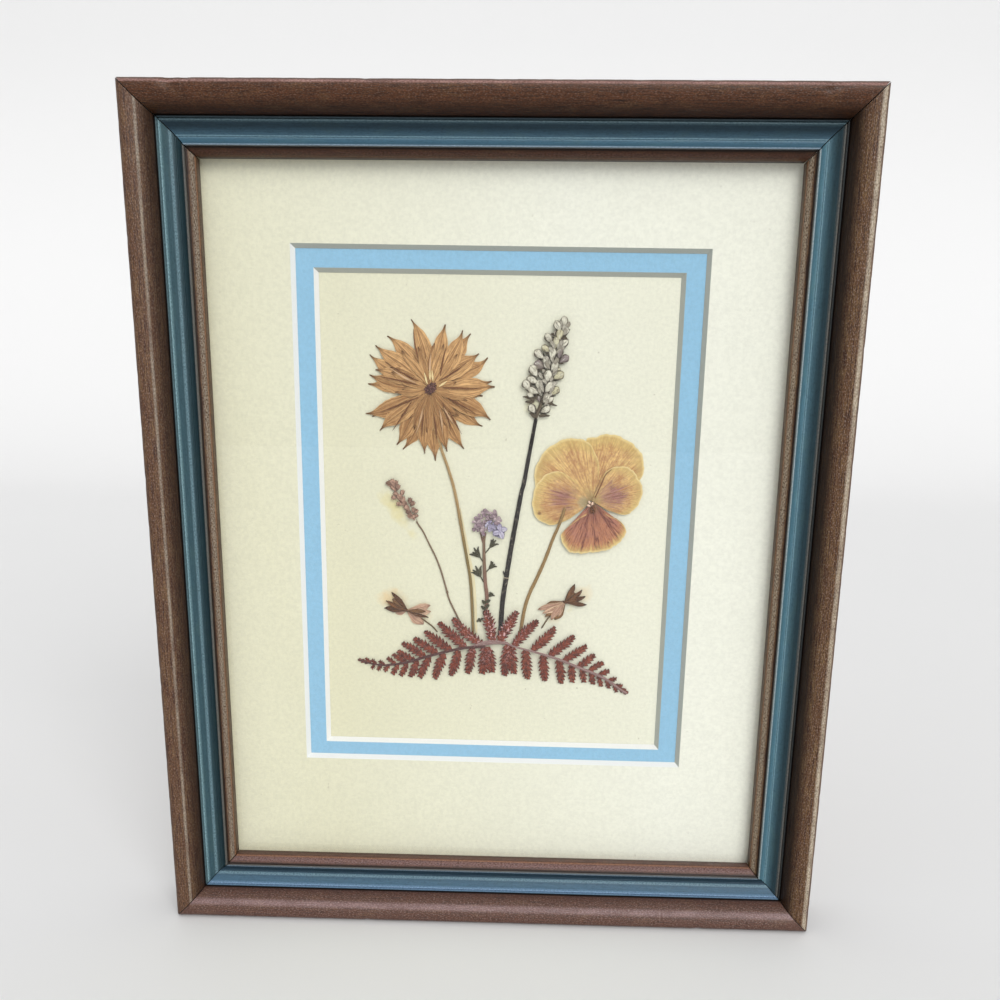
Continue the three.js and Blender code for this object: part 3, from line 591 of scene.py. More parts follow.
def moulding_finish(side, settings):
    """Stained wood under an uneven varnish and the cove in teal paint. A highlight stripe and shine along
    the crown, the light and shade on the cove's two sides, its bright lines and the shade in the quirks,
    the hollow and the lip are painted into the colour.
    """
    rail = RAILS[side]
    gold = rail["gold"]
    stripe_out, stripe_reach, stripe_strength, highlight_tone, spread = rail["stripe"]
    lip_highlight, lip_shade = rail["lip"]
    _, _, ends = moulding_section()
    run = {name: end / GIRTH_UNIT_MM for name, end in ends.items()}
    wood = Finish("stained_moulding_" + side, coat_weight=0.22, coat_roughness=0.22, coat_ior=1.45)
    uv = wood.along()
    girth = wood.split(uv, "Y")
    grain = wood.noise(wood.moved(uv, (5, 80, 1)), 3, 5, 0.65, 0.5)
    pores = wood.noise(wood.moved(uv, (60, 330, 1)), 2, 4, 0.7)
    mottle = wood.noise(wood.moved(uv, (50, 90, 1)), 2, 5, 0.72, 0.6)
    patches = wood.noise(wood.moved(uv, (5, 12, 1)), 2, 3, 0.6, 0.4)
    grit = wood.noise(wood.moved(uv, (110, 230, 1)), 1.3, 3, 0.65)
    dark = settings.wood_dark

    def band(where, reach, strength):
        """How much of a stripe round the section shows here, full in its middle."""
        return wood.range(wood.gap(girth, where), reach, 0.35 * reach, 0, strength)

    stain = wood.ramp(grain, (0.3, dark), (0.5, settings.wood), (0.75, shaded(settings.wood, 1.35)))
    golden = wood.maths("MULTIPLY", wood.range(patches, 0.3, 0.7, gold - 0.45, gold + 0.45),
                        wood.range(grain, 0.4, 0.65))
    stain = wood.mix(golden, stain, settings.wood_gold)
    stain = wood.over(stain, dark, pores, 0.42, 0.6, 0.7)
    stain = wood.over(stain, dark, mottle, 0.55, 0.4, 0.45)
    stripe = crown_girth(stripe_out) / GIRTH_UNIT_MM
    # Painted grey shine over the wood, strongest on the bottom rail.
    stain = wood.mix(wood.range(mottle, 0.35, 0.65, 0.3 * rail["haze"], rail["haze"]), stain,
                     tone(126, 102, 102))
    # A painted highlight stripe along the crown, with painted shine spreading round it.
    painted_highlight = wood.maths("MULTIPLY", band(stripe, stripe_reach, 1),
                        wood.range(grit, 0.36, 0.6, 0.15, stripe_strength))
    painted_highlight = wood.maths("MULTIPLY", painted_highlight, wood.range(patches, 0.3, 0.6, 0.45, 1))
    stain = wood.mix(painted_highlight, stain, tone(*highlight_tone))
    highlight_halo = wood.maths("MULTIPLY", band(stripe, 0.1, 1), wood.range(grit, 0.52, 0.68, 0, spread))
    stain = wood.mix(highlight_halo, stain, settings.sheen)

    plain = tuple(a + rail["blue"] * (b - a) for a, b in zip(settings.paint, settings.paint_blue))
    paint = wood.over(plain, shaded(plain, 1.35), grain, 0.35, 0.7)
    paint = wood.over(paint, shaded(plain, 0.55), mottle, 0.5, 0.35, 0.5)
    paint = wood.over(paint, tone(78, 104, 100), patches, 0.5, 0.7, 0.3 * (1 - rail["blue"]))
    # Painted light and shade on the cove: each side lighter or darker by how the light falls on that rail.
    hollow = (run["cove"] + run["ridge"]) / 2
    slope = wood.range(girth, hollow - 0.03, hollow + 0.006, *rail["slopes"])
    slope_shading_tint = wood.add("ShaderNodeCombineColor", {0: slope, 1: slope, 2: slope})
    paint = wood.mix(1.0, paint, slope_shading_tint, "MULTIPLY")
    # The bead line, the ridge gleam and the fillet line: the pale ones are painted highlights.
    patchy = wood.range(grit, 0.4, 0.6, 0.35, 1)
    for where, reach, strength, shade in (
            (run["bead"] - 0.010, 0.016, 0.95, tone(*rail["bead"])),
            (run["ridge"] - 0.003 - rail["gleam"], 0.0075, 0.55, settings.paint_highlight),
            (run["rise"] + 0.004, 0.008, 0.95, tone(*rail["fillet"]))):
        paint = wood.mix(wood.maths("MULTIPLY", band(where, reach, strength), patchy), paint, shade)
    paint = wood.mix(band(run["fillet"] - 0.006, 0.007, 0.75), paint, tone(104, 102, 98))
    edge = wood.maths("ADD", girth, wood.range(mottle, 0, 1, -0.002, 0.002))
    painted = wood.maths("MULTIPLY", wood.maths("GREATER_THAN", edge, run["flank"] - 0.001),
                         wood.maths("LESS_THAN", edge, run["fillet"] - 0.003))
    body = wood.mix(painted, stain, paint)

    # Dark bands: painted shade in the quirks, in the hollow beside the cove and on the lip and sight wall,
    # changing from rail to rail with the light, and a darker outer side.
    for where, reach, strength in ((run["flank"] - 0.003, 0.009, 0.95), (run["fillet"] + 0.001, 0.006, 0.9),
                                   (run["flank"] - 0.025, 0.05, rail["hollow"]),
                                   (run["outer_side"] - 0.05, 0.068, 0.75),
                                   (run["lip"] - 0.01, 0.05, 0.9 * lip_shade - 0.3),
                                   (run["sight_wall"], 0.02, lip_shade)):
        body = wood.mix(band(where, reach, strength), body, shaded(dark, 0.45))
    # A painted highlight along the lip, and a thin one on its edge that fades where the lip is shaded.
    body = wood.mix(wood.maths("MULTIPLY", band(run["lip"] - 0.016, 0.014, lip_highlight),
                               wood.range(grit, 0.4, 0.6)), body, tone(*highlight_tone))
    lip_edge_highlight = wood.maths("MULTIPLY", band(run["lip"] - 0.004, 0.004, 0.8 - 0.8 * lip_shade), patchy)
    body = wood.mix(lip_edge_highlight, body, tone(186, 134, 100))
    raw = wood.over(settings.raw_wood, shaded(settings.raw_wood, 0.6), grain, 0.3, 0.7)
    behind = wood.maths("MAXIMUM", wood.maths("LESS_THAN", girth, run["back"] - 0.002),
                        wood.maths("GREATER_THAN", girth, run["sight_wall"] + 0.004))
    body = wood.mix(behind, body, raw)
    bumps = wood.relief(grain, 0.3, 0.0003)
    bumps = wood.relief(mottle, 0.35, 0.00025, bumps)
    bumps = wood.relief(grit, 0.6, 0.00012, bumps)
    return wood.set(base_color=body, roughness=wood.range(mottle, 0.3, 0.7, 0.3, 0.5), normal=bumps,
                    coat_normal=bumps, specular_ior_level=0.2)


class FLOWERFRAME_OT_moulding(bpy.types.Operator):
    """Model the four mitred rails of the moulding with their painted cove"""

    bl_idname = "flower_frame.moulding"
    bl_label = "Moulding"

    def execute(self, context):
        settings = context.scene.frame_moulding
        for side in DENTS:
            rail = moulding_rail(side, settings)
            moulding_finish(side, settings).on(rail)
            hand_over(rail, "frame_wood", "rail_" + side)
        return {"FINISHED"}


# ---- Glass, mats and boards -------------------------------------------------------------


# Painted shade across the cream papers, darker and yellower to the left, away from the light: its
# tint where it is strongest, the way towards the lit side, and where along that way, from the middle of
# the sight opening, the tint is full and where it ends.
LEFT_SHADE_TINT = (0.884, 0.859, 0.731)
LIT_SIDE = (1, 0, 0.2)
SHADE_GRADIENT_MM = (-80, 45)


# Stains that pressed plants have bled into the card: place and radius in millimetres, strength, and
# whether they are rust brown.
STAINS = [
    ((-36.6, 12), 3.8, 0.5, False), ((-34.4, 8), 4.0, 0.5, False), ((-31.8, 4.2), 3.4, 0.5, False),
    ((-29.4, 1), 2.2, 0.4, False), ((-37.4, -23.8), 4.4, 0.6, True), ((-34.6, -24.6), 4.8, 0.5, True),
    ((31, -20.5), 4.2, 0.35, True), ((27.6, -25.8), 1.7, 0.4, False), ((19, -28.5), 3.6, 0.3, True),
    ((13, 45.4), 3.4, 0.3, False), ((-26, -29.5), 3.6, 0.3, True),
]


def paper(name, face, cores, stains=(), marks=0.5, shade_gradient=True):
    """Mat board or card: face paper with a fine tooth and a few specks, and a white core wherever
    the board is cut, with painted shade on the cuts that face down or left. Unless told not to, the face
    is also painted darker and yellower towards the left as shade. Each stain is a place on the card, a
    radius in mm, a strength and a colour."""
    board = Finish(name, roughness=0.92, specular_ior_level=0.15)
    place = board.place()
    cloud = board.noise(place, 30, 4, 0.6)
    tooth = board.noise(place, 850, 3, 0.65)
    fibre = board.noise(board.moved(place, (1, 1, 2.2)), 480, 3, 0.6)
    specks = board.noise(place, 420, 2, 0.5)
    shade = board.over(face, shaded(face, 0.95), cloud, 0.35, 0.65, 0.5)
    shade = board.over(shade, shaded(face, 0.9), fibre, 0.35, 0.7, 0.4)
    shade = board.over(shade, shaded(face, 0.84), tooth, 0.4, 0.65, 0.5)
    shade = board.over(shade, tone(150, 138, 116), specks, 0.76, 0.8, marks)
    # Painted shade: the face grows darker and yellower towards the left, away from the light.
    if shade_gradient:
        centred = board.moved(place, shift=(0, 0, -MIDDLE_Z))
        towards_light = board.add("ShaderNodeVectorMath", {0: centred, 1: LIT_SIDE}, "Value",
                            operation="DOT_PRODUCT")
        full_shade, no_shade = (MM * end for end in SHADE_GRADIENT_MM)
        painted_shade_tint = board.over(LEFT_SHADE_TINT, (1, 1, 1), towards_light, full_shade, no_shade)
        shade = board.mix(1.0, shade, painted_shade_tint, "MULTIPLY")
    for (x, y), radius, strength, tint in stains:
        far = board.distance(place, Vector(on_card(x, y, 0)))
        drift = board.noise(place, 130, 4, 0.6)
        ragged = board.maths("ADD", far, board.range(drift, 0.3, 0.7, -0.002, 0.002))
        shade = board.over(shade, tint, ragged, radius * MM, 0.3 * radius * MM, strength)
    # Painted shade on the cut core, on the cuts that face down or left.
    facing = board.add("ShaderNodeNewGeometry", {}, "Normal")
    cut = board.maths("GREATER_THAN", board.split(facing, "Y"), -0.95)
    turned = board.maths("ADD", board.split(facing, "X"), board.split(facing, "Z"))
    shade = board.mix(cut, shade, board.mix(board.range(turned, 0.2, -0.4), *cores))
    return board.set(base_color=shade, normal=board.relief(tooth, 0.7, 0.0002))


def clear_glass():
    return Finish("picture_glass", base_color=(1, 1, 1), roughness=0.0, ior=1.5,
                  transmission_weight=1.0, specular_ior_level=0.12)


def steel():
    metal = Finish("zinc_plated_steel", metallic=1.0)
    place = metal.place()
    cloud = metal.noise(place, 300, 4, 0.6)
    brushed = metal.noise(metal.moved(place, (1, 1, 14)), 900, 3)
    shade = metal.ramp(cloud, (0.3, tone(130, 128, 122)), (0.6, tone(176, 174, 166)),
                       (0.8, tone(150, 140, 118)))
    return metal.set(base_color=shade, roughness=metal.range(brushed, 0.3, 0.7, 0.28, 0.5),
                     normal=metal.relief(brushed, 0.2, 0.00005))


def kraft_board(face):
    board = Finish("kraft_backing", roughness=0.9, specular_ior_level=0.2)
    place = board.place()
    fibre = board.noise(board.moved(place, (1, 1, 4)), 420, 4, 0.65)
    cloud = board.noise(place, 22, 4, 0.6)
    shade = board.over(face, shaded(face, 0.72), fibre, 0.35, 0.7)
    shade = board.over(shade, shaded(face, 1.2), cloud, 0.4, 0.7, 0.4)
    return board.set(base_color=shade, normal=board.relief(fibre, 0.4, 0.0001))


class FLOWERFRAME_OT_glazing(bpy.types.Operator):
    """Finish the glass, the two mats, the card, the backing board and the steel fittings"""

    bl_idname = "flower_frame.glazing"
    bl_label = "Glass, Mats and Boards"

    def execute(self, context):
        settings = context.scene.frame_mats
        nodes = frame["nodes"]
        cores = settings.core, settings.core_shade
        pane = nodes["glass_pane"]
        clear_glass().on(pane)
        pane.visible_shadow = False
        pane.visible_diffuse = False
        paper("cream_mat_board", settings.cream, cores, marks=0.25).on(nodes["cream_mat"])
        paper("blue_mat_board", settings.blue, cores, marks=0.2, shade_gradient=False).on(nodes["blue_mat"])
        stains = [(where, radius, strength, settings.rust if rusty else settings.foxing)
                  for where, radius, strength, rusty in STAINS]
        paper("flower_card", settings.card, cores, stains).on(nodes["mount_card"])
        kraft_board(settings.board).on(nodes["backing_board"])
        fittings = "framers_point", "hanger", "sawtooth"
        steel().on(*(nodes[name] for name in nodes if name.startswith(fittings)))
        return {"FINISHED"}


# ---- Plants: shaping --------------------------------------------------------------------

HIGHEST_MM = 2.9   # above the card, 0.2 mm short of the glass


def profile(*knots):
    """A smooth curve through a few (place, value) knots, places from 0 to 1."""
    fine = np.linspace(0, 1, 201)
    rough = np.interp(fine, *zip(*knots))
    window = np.hanning(23) / np.hanning(23).sum()
    even = np.convolve(np.pad(rough, 11, mode="edge"), window, "valid")
    return lambda share: np.interp(share, fine, even)


def directions(root, tip):
    """Length, and unit vectors ahead and to the left, from root to tip."""
    reach = Vector(tip) - Vector(root)
    ahead = reach.normalized()
    return reach.length, ahead, Vector((-ahead.y, ahead.x))


def petal(root, tip, half, lift, along=30, across=10, bow=0.0, hook=0.0, crease=0.0, cup=0.0, wave=0.0,
          seed=1, shade=0.5, pleat=0.0):
    """A petal from root to tip in the picture, in millimetres. half(u) is its half width and lift
    its height, a number or a function of u. bow bends it, hook turns its tip to the left, crease
    raises its midline, cup its edges, wave ripples them, and pleat folds it lengthwise."""
    length, ahead, aside = directions(root, tip)

    def place(u, v):
        left = v > 0
        turn = bow * np.sin(np.pi * u) + hook * (np.clip((u - 0.8) / 0.2, 0, 1) ** 1.6 - u)
        uneven = np.where(left, ripple(u * length, seed, 4, 0.9), ripple(u * length, seed + 1, 4, 0.9))
        out = turn + v * half(u) * (1 + 0.06 * uneven)
        lapping = np.where(left, ripple(u * length, seed + 2, 4, 1.1), ripple(u * length, seed + 3, 4, 1.1))
        high = lift(u) if callable(lift) else lift
        high = high + crease * np.exp(-(v / 0.22) ** 2) * np.sin(np.pi * u) ** 0.7
        folds = pleat * ripple(3 * v + 0.5 * np.sin(3 * u + seed), seed + 4, 4, 1.7)
        high = high + np.sin(np.pi * u) ** 0.5 * (cup * v * v + wave * lapping * np.abs(v) ** 1.5 + folds)
        return on_card(root[0] + ahead.x * u * length + aside.x * out,
                       root[1] + ahead.y * u * length + aside.y * out, np.clip(high, 0.12, HIGHEST_MM))

    return shaped_grid("petal", along, across, place, shade)


def pod(centre, length, width, height, turn, lift, belly=0.55, ribs=0.0, seed=1, shade=0.5, size=(10, 12)):
    """A closed bud lying on the card, turned from pointing up, fattest at a share of its length."""
    ahead = Vector((-math.sin(turn), math.cos(turn)))
    power = math.log(0.5) / math.log(belly)

    def place(u, v):
        angle = np.pi * v
        ring = np.sin(np.pi * u ** power) ** 0.75 * (1 + ribs * np.cos(7 * angle + seed))
        ring = ring * (1 + 0.06 * ripple(u * 6 + np.cos(angle), seed))
        run, side = (u - 0.5) * length, np.cos(angle) * ring * width / 2
        rise = np.sin(angle) * ring * height / 2
        return on_card(centre[0] + ahead.x * run + ahead.y * side,
                       centre[1] + ahead.y * run - ahead.x * side,
                       np.clip(lift + height / 2 + rise, 0.05, HIGHEST_MM))

    return shaped_grid("pod", *size, place, shade)


def sheets(finish, parts, thickness=0.14):
    """Petals or blades that face the viewer, joined, thickened towards the card and finished."""
    piece = thickened(merged(joined(parts, "sheets"), outwards=False), thickness)
    finish.on(piece)
    return piece


def bodies(finish, parts):
    """Closed buds and stems, joined and finished."""
    piece = merged(joined(parts, "bodies"))
    finish.on(piece)
    return piece


def plant(name, slot, node, *groups):
    """Joins the groups into one piece, which takes the place of a CAD node."""
    return hand_over(smooth(joined(list(groups), name), 60), slot, node)


def dried(name, body, dark, grain=(1.6, 9), edge=0.5, rib=0.4, tip=0.6, spread=0.5, rim=None, warp=0.4,
          crisp=0.14, folds=0.0):
    """Dry plant skin: streaks along it, a dark rib, edges and tip, and a shade of its own for each
    petal. grain counts the streaks along and across, and edge, rib, tip and spread are how strong
    the darkening is. rim is a colour for the very edge, if it isn't dark. folds draws thin creases."""
    skin = Finish(name, roughness=0.8, specular_ior_level=0.1)
    uv = skin.along()
    u, v = skin.split(uv, "X"), skin.split(uv, "Y")
    shade = skin.mark("shade")

    def streaked(along, across, detail, shift):
        place = skin.moved(skin.stretched(along, across, 40.0), shift=(0, 0, shift))
        return skin.noise(place, 1.0, detail, 0.62, warp)

    streaks = streaked(*grain, 4, 0)
    blotches = skin.noise(skin.place(), 420, 4, 0.6)
    ruled = skin.maths("ADD", skin.from_midline(v), skin.range(streaks, 0.2, 0.8, -0.05, 0.05))
    deep = shaded(dark, 0.5)
    look = skin.over(body, dark, streaks, 0.53 - crisp, 0.53 + crisp, 0.75)
    look = skin.over(look, shaded(body, 1.3), streaks, 0.46, 0.46 - crisp, 0.4)
    look = skin.over(look, dark, blotches, 0.45, 0.65, 0.35)
    look = skin.over(look, dark, shade, 0, 1, spread)
    if folds:
        lines = streaked(0.5 * grain[0], 0.45 * grain[1], 2, 7)
        look = skin.over(look, deep, skin.gap(lines, 0.5), 0.022, 0.004, folds)
    look = skin.over(look, deep, ruled, 0.1, 0.02, rib)
    look = skin.over(look, deep if rim is None else rim, ruled, 0.8 if rim is None else 0.88, 0.99, edge)
    look = skin.over(look, deep, u, 0.86, 0.98, tip)
    return skin.set(base_color=look, normal=skin.relief(streaks, 0.9, 0.0003))


def stalk(name, body, dark, specks=0.0, later=None):
    """Dry stem: long fibres, darker sides and a paler ridge. later is the colour of its lower half."""
    skin = Finish(name, roughness=0.65, specular_ior_level=0.12)
    fibres = skin.noise(skin.stretched(7.0, 16.0), 1.0, 4, 0.6, 0.2)
    nicks = skin.noise(skin.place(), 900, 2, 0.5)
    if later is not None:
        body = skin.over(body, later, skin.split(skin.along(), "X"), 0.4, 0.62)
    look = skin.over(body, dark, fibres, 0.38, 0.66)
    look = skin.over(look, tone(196, 184, 160), nicks, 0.6, 0.7, specks)
    return skin.set(base_color=look, normal=skin.relief(fibres, 0.6, 0.00015))


# ---- Plants: the flowers ----------------------------------------------------------------

STAR_CENTRE = (-22.3, 50.3)
# The tip of each outer petal and how far its point hooks to the left, in millimetres.
STAR_PETALS = [
    ((-28.9, 72.6), 0.8), ((-17.5, 71.1), -0.2), ((-11.7, 69.3), 0.7), ((-9, 68.2), -0.7),
    ((-6.2, 61.8), 0.4), ((-3.3, 60.6), 1.5), ((-1.9, 52.9), 0.3), ((-0.8, 51.1), -0.4),
    ((-4.9, 48), 0.3), ((-2.2, 40.1), -1.0), ((-4.9, 37.9), 0.8), ((-11.2, 30.2), 0.3),
    ((-16.9, 29.2), 0.1), ((-21, 26), -0.2), ((-24.6, 28.4), 0.2), ((-32.1, 29.7), -1.0),
    ((-34.2, 31.3), -0.9), ((-39.9, 36), 0.7), ((-42.5, 40.6), -0.4), ((-44.6, 41.7), -0.8),
    ((-43.7, 51.5), -0.5), ((-43.1, 54.5), -0.4), ((-41, 56.2), 0.2), ((-42.9, 61.1), -0.5),
    ((-40.9, 64.1), -0.6), ((-36.9, 67.2), 0.7),
]
STAR_SLITS = [((-24.4, 55.4), (-23.4, 51.7)), ((-22.5, 56.4), (-22.5, 53.2)),
              ((-21.8, 56.2), (-21.5, 52.8)),
              ((-16.9, 52.7), (-19.4, 51.0))]
# Slivers on top of the petals along their folds, from their inner to their outer end: dark ones as painted
# shadows, then pale ones as painted highlights.
STAR_FOLD_SHADING = {
    "dark": [
        ((-26.3, 52.6), (-37.6, 58.8)), ((-26.3, 51.3), (-41.2, 54.2)), ((-26.3, 47.4), (-39.6, 42.1)),
        ((-24.6, 41.8), (-25.3, 34.3)), ((-21.3, 42.1), (-20.6, 31.7)), ((-18.3, 45.7), (-15.6, 36.2)),
        ((-16.3, 43.5), (-11.8, 35.2)), ((-19, 54.5), (-17, 64)), ((-19.4, 52.9), (-10.2, 58.9)),
        ((-26.3, 59.5), (-28, 69.5)), ((-17, 47.5), (-6.6, 41.8)), ((-18.4, 50.6), (-6.5, 50.4)),
        ((-28.8, 45.9), (-35.5, 36))],
    "pale": [
        ((-27, 51.9), (-36.6, 57.2)), ((-17.9, 44.2), (-14.2, 38.1)), ((-22.6, 54.6), (-22.2, 62)),
        ((-24.9, 43.9), (-27.6, 35)), ((-19.4, 43.4), (-18.4, 35))],
}
STAR_STEM = [(-22, 46.5), (-20.5, 37), (-18.8, 29.8), (-16.4, 22.9), (-14.2, 15.1), (-11.9, 2.6),
             (-9.9, -8.5), (-8.8, -15.1), (-8.2, -23), (-7.7, -33.3), (-7.5, -36.8)]
STAR_SHEATH = [(-12.4, 10), (-10.7, 0.6), (-9, -8.7), (-7.8, -15.2), (-7.1, -23), (-6.7, -31.5),
               (-6.5, -35.5)]


class FLOWERFRAME_OT_star_flower(bpy.types.Operator):
    """Model the large tan flower: overlapping pointed petals, its dark heart and its straw stem"""

    bl_idname = "flower_frame.star_flower"
    bl_label = "Star Flower"

    def execute(self, context):
        look = context.scene.frame_plants
        skin = dried("tan_petal", look.petal_tan, look.petal_brown, (1.3, 12), 0.65, 0.5, 0.92, 0.6,
                     tone(232, 190, 132), 0.6, 0.1, 0.6)
        pale = stalk("pale_petal_base", tone(248, 230, 178), tone(226, 194, 128))
        heart = dried("dark_heart", tone(150, 106, 96), tone(66, 40, 36), (2, 5), spread=0.9)
        shadow = dried("painted_fold_shadow", tone(150, 104, 66), tone(108, 68, 42), (2, 5))
        bright = dried("painted_fold_highlight", tone(238, 204, 166), tone(206, 166, 124), (2, 5), 0.2, 0.1, 0.2)
        draw = random.Random(4)
        petals = self.outer_petals(draw) + self.inner_petals(draw)
        slits = [petal(root, tip, profile((0, 0.12), (0.4, 0.34), (1, 0.1)), 2.3, 10, 4, seed=i)
                 for i, (tip, root) in enumerate(STAR_SLITS)]
        buds = [self.heart_bud(draw, i) for i in range(40)]
        plant("star_flower_bloom", "tan_petals", "star_flower_head",
              sheets(skin, petals), sheets(pale, slits),
              sheets(shadow, self.folds(draw, "dark"), 0.1), sheets(bright, self.folds(draw, "pale"), 0.1),
              bodies(heart, buds))

        straw = stalk("straw_stem", look.straw, tone(132, 104, 62), later=tone(126, 112, 66))
        sheath = stalk("pale_sheath", tone(232, 224, 188), tone(214, 198, 150))
        stems = [stem("stem", STAR_STEM, 1.05, 0.75, 0.1, (0.8, 0.9), 0.06, 3)]
        side = [stem("sheath", STAR_SHEATH, 1.15, 0.25, 0.1, (0.2, 0.7), 0.03, 5)]
        plant("star_flower_stalk", "straw_stem", "star_flower_stem",
              bodies(straw, stems), bodies(sheath, side))
        return {"FINISHED"}

    def folds(self, draw, kind):
        """Thin slivers on the petals along their folds: painted shadows when dark and painted highlights
        when pale.
        """
        width = profile((0, 0.04), (0.3, 0.3), (0.6, 0.22), (1, 0.03))
        first = 0 if kind == "dark" else len(STAR_FOLD_SHADING["dark"])
        return [petal(start, end, width, lambda u: 2.35 - 0.75 * u, 24, 6, draw.uniform(-0.4, 0.4), 0, 0.1,
                      0, 0.1, 700 + 3 * i, draw.random())
                for i, (start, end) in enumerate(STAR_FOLD_SHADING[kind], first)]

    def outer_petals(self, draw):
        """Long petals with hooked points, in five overlapping levels."""
        width = profile((0, 0.14), (0.3, 0.6), (0.56, 1), (0.76, 0.76), (0.87, 0.3), (0.93, 0.1), (1, 0.04))
        petals = []
        for i, (tip, hook) in enumerate(STAR_PETALS):
            level = 0.45 + 0.26 * ((i * 2) % 5)
            widest = draw.uniform(2.7, 3.3)
            down = (STAR_CENTRE[1] - tip[1]) / 50
            petals.append(petal(
                STAR_CENTRE, tip, lambda u, w=widest: w * width(u),
                lambda u, h=level: h * (1.1 - 0.7 * u * u), 44, 20, draw.uniform(-1.1, 1.1), hook, 0.12,
                draw.uniform(-0.1, 0.2), 0.2, 20 + 5 * i,
                np.clip(0.3 + down + draw.uniform(-0.25, 0.25), 0, 1), 0.16))
        return petals

    def inner_petals(self, draw):
        """Shorter and narrower petals on top of the outer ones."""
        width = profile((0, 0.15), (0.35, 0.75), (0.6, 1), (0.85, 0.5), (1, 0.04))
        petals = []
        for i in range(24):
            angle = i * 2 * math.pi / 24 + draw.uniform(-0.15, 0.15)
            reach = draw.uniform(6.5, 16)
            tip = (STAR_CENTRE[0] + reach * math.cos(angle), STAR_CENTRE[1] + reach * math.sin(angle))
            level = 1.6 + 0.2 * (i * 2 % 4)
            petals.append(petal(
                STAR_CENTRE, tip, lambda u, w=draw.uniform(0.9, 1.8): w * width(u),
                lambda u, h=level: h * (1.0 - 0.3 * u * u), 26, 12, draw.uniform(-0.9, 0.9),
                draw.uniform(-0.8, 0.8), 0.12, draw.uniform(-0.1, 0.15), 0.16, 300 + 5 * i,
                np.clip(0.5 - 0.3 * math.sin(angle) + draw.uniform(-0.3, 0.3), 0, 1), 0.14))
        return petals

    def heart_bud(self, draw, number):
        """One grain of the heart, on a spiral from its middle."""
        angle = number * 2.4
        far = (1.75 + 0.5 * math.sin(2 * angle)) * math.sqrt(number / 40)
        place = (STAR_CENTRE[0] + far * math.cos(angle), STAR_CENTRE[1] + far * math.sin(angle))
        return pod(place, draw.uniform(0.8, 1.2), draw.uniform(0.45, 0.65), 0.5, angle - math.pi / 2,
                   2.35 - 0.15 * far, seed=number, shade=draw.random(), size=(6, 8))


LAVENDER_AXIS = [(13.05, 40.7), (15.3, 47), (17.4, 54.5), (19.4, 63), (21.9, 72.6)]
LAVENDER_SPRAYS = [[(13.5, 42), (11.9, 43.4)], [(13.9, 42.8), (16.3, 43.2)], [(15.6, 47.6), (11, 50.6)]]
# Florets of the tall spike: place, width and turn to the left.
LAVENDER_FLORETS = [
    (21.9, 72.4, 2.2, -0.1), (19.9, 70.9, 2.4, 0.5), (22.2, 69.3, 2.2, -0.3), (20.4, 67.9, 2.6, 0),
    (17, 67, 2.5, 0.9), (19.3, 65.4, 2.6, 0.2), (21.8, 65.3, 2.5, -0.6), (16.2, 63.6, 2.5, 0.8),
    (14, 61.7, 2.6, 0.9), (18.2, 62, 2.6, 0.2), (20.6, 62.2, 2.6, -0.5), (22, 60.3, 2.6, -1),
    (16.7, 59.6, 2.7, 0.4), (18.9, 58, 2.6, -0.2), (14.1, 58.3, 2.8, 0.8), (12.3, 56.3, 2.8, 0.9),
    (20.3, 54.9, 2.7, -1), (16.9, 54.8, 2.8, 0), (11.9, 53.4, 2.7, 0.9), (10, 51.6, 2.7, 0.7),
    (14.3, 51.5, 2.9, 0.4), (17.4, 51.2, 2.9, -0.3), (19.2, 49.8, 2.8, -0.9), (12.2, 49.9, 2.7, 0.8),
    (16.4, 47.5, 2.6, -0.5), (11.9, 44, 2.4, 0.7), (16.3, 43.8, 2.4, -0.8), (11.3, 48.5, 1.8, 1.2),
    (17.9, 47, 1.8, -1.2),
]
LAVENDER_STEM = [(13.3, 41.2), (11.1, 28.2), (9.6, 19.1), (8.8, 15.9), (8, 11.3), (5.6, -3.2), (4.1, -13.3),
                 (2.8, -22.8), (2.2, -33.1), (2.0, -36.6)]
LAVENDER_NODE = (3.95, -14.6)
# Dark pointed bracts: root and tip.
LAVENDER_BRACTS = [((13.6, 47.6), (8.6, 47.9)), ((12.6, 46.6), (9.4, 46.2)), ((15, 46.6), (20.2, 45.2)),
                   ((15.6, 47.4), (18.9, 46.4)), ((14.2, 41.6), (17.9, 41.9)), ((13.5, 41.3), (10.9, 42.6)),
                   ((19.8, 68.6), (17.4, 68.3)), ((21.2, 67.4), (23.5, 66.6)), ((21.3, 69.8), (23.9, 69.9)),
                   ((17.3, 63.7), (14.9, 63.2)), ((20.8, 59.6), (22.4, 60.8)), ((15.4, 56.8), (13.4, 58))]


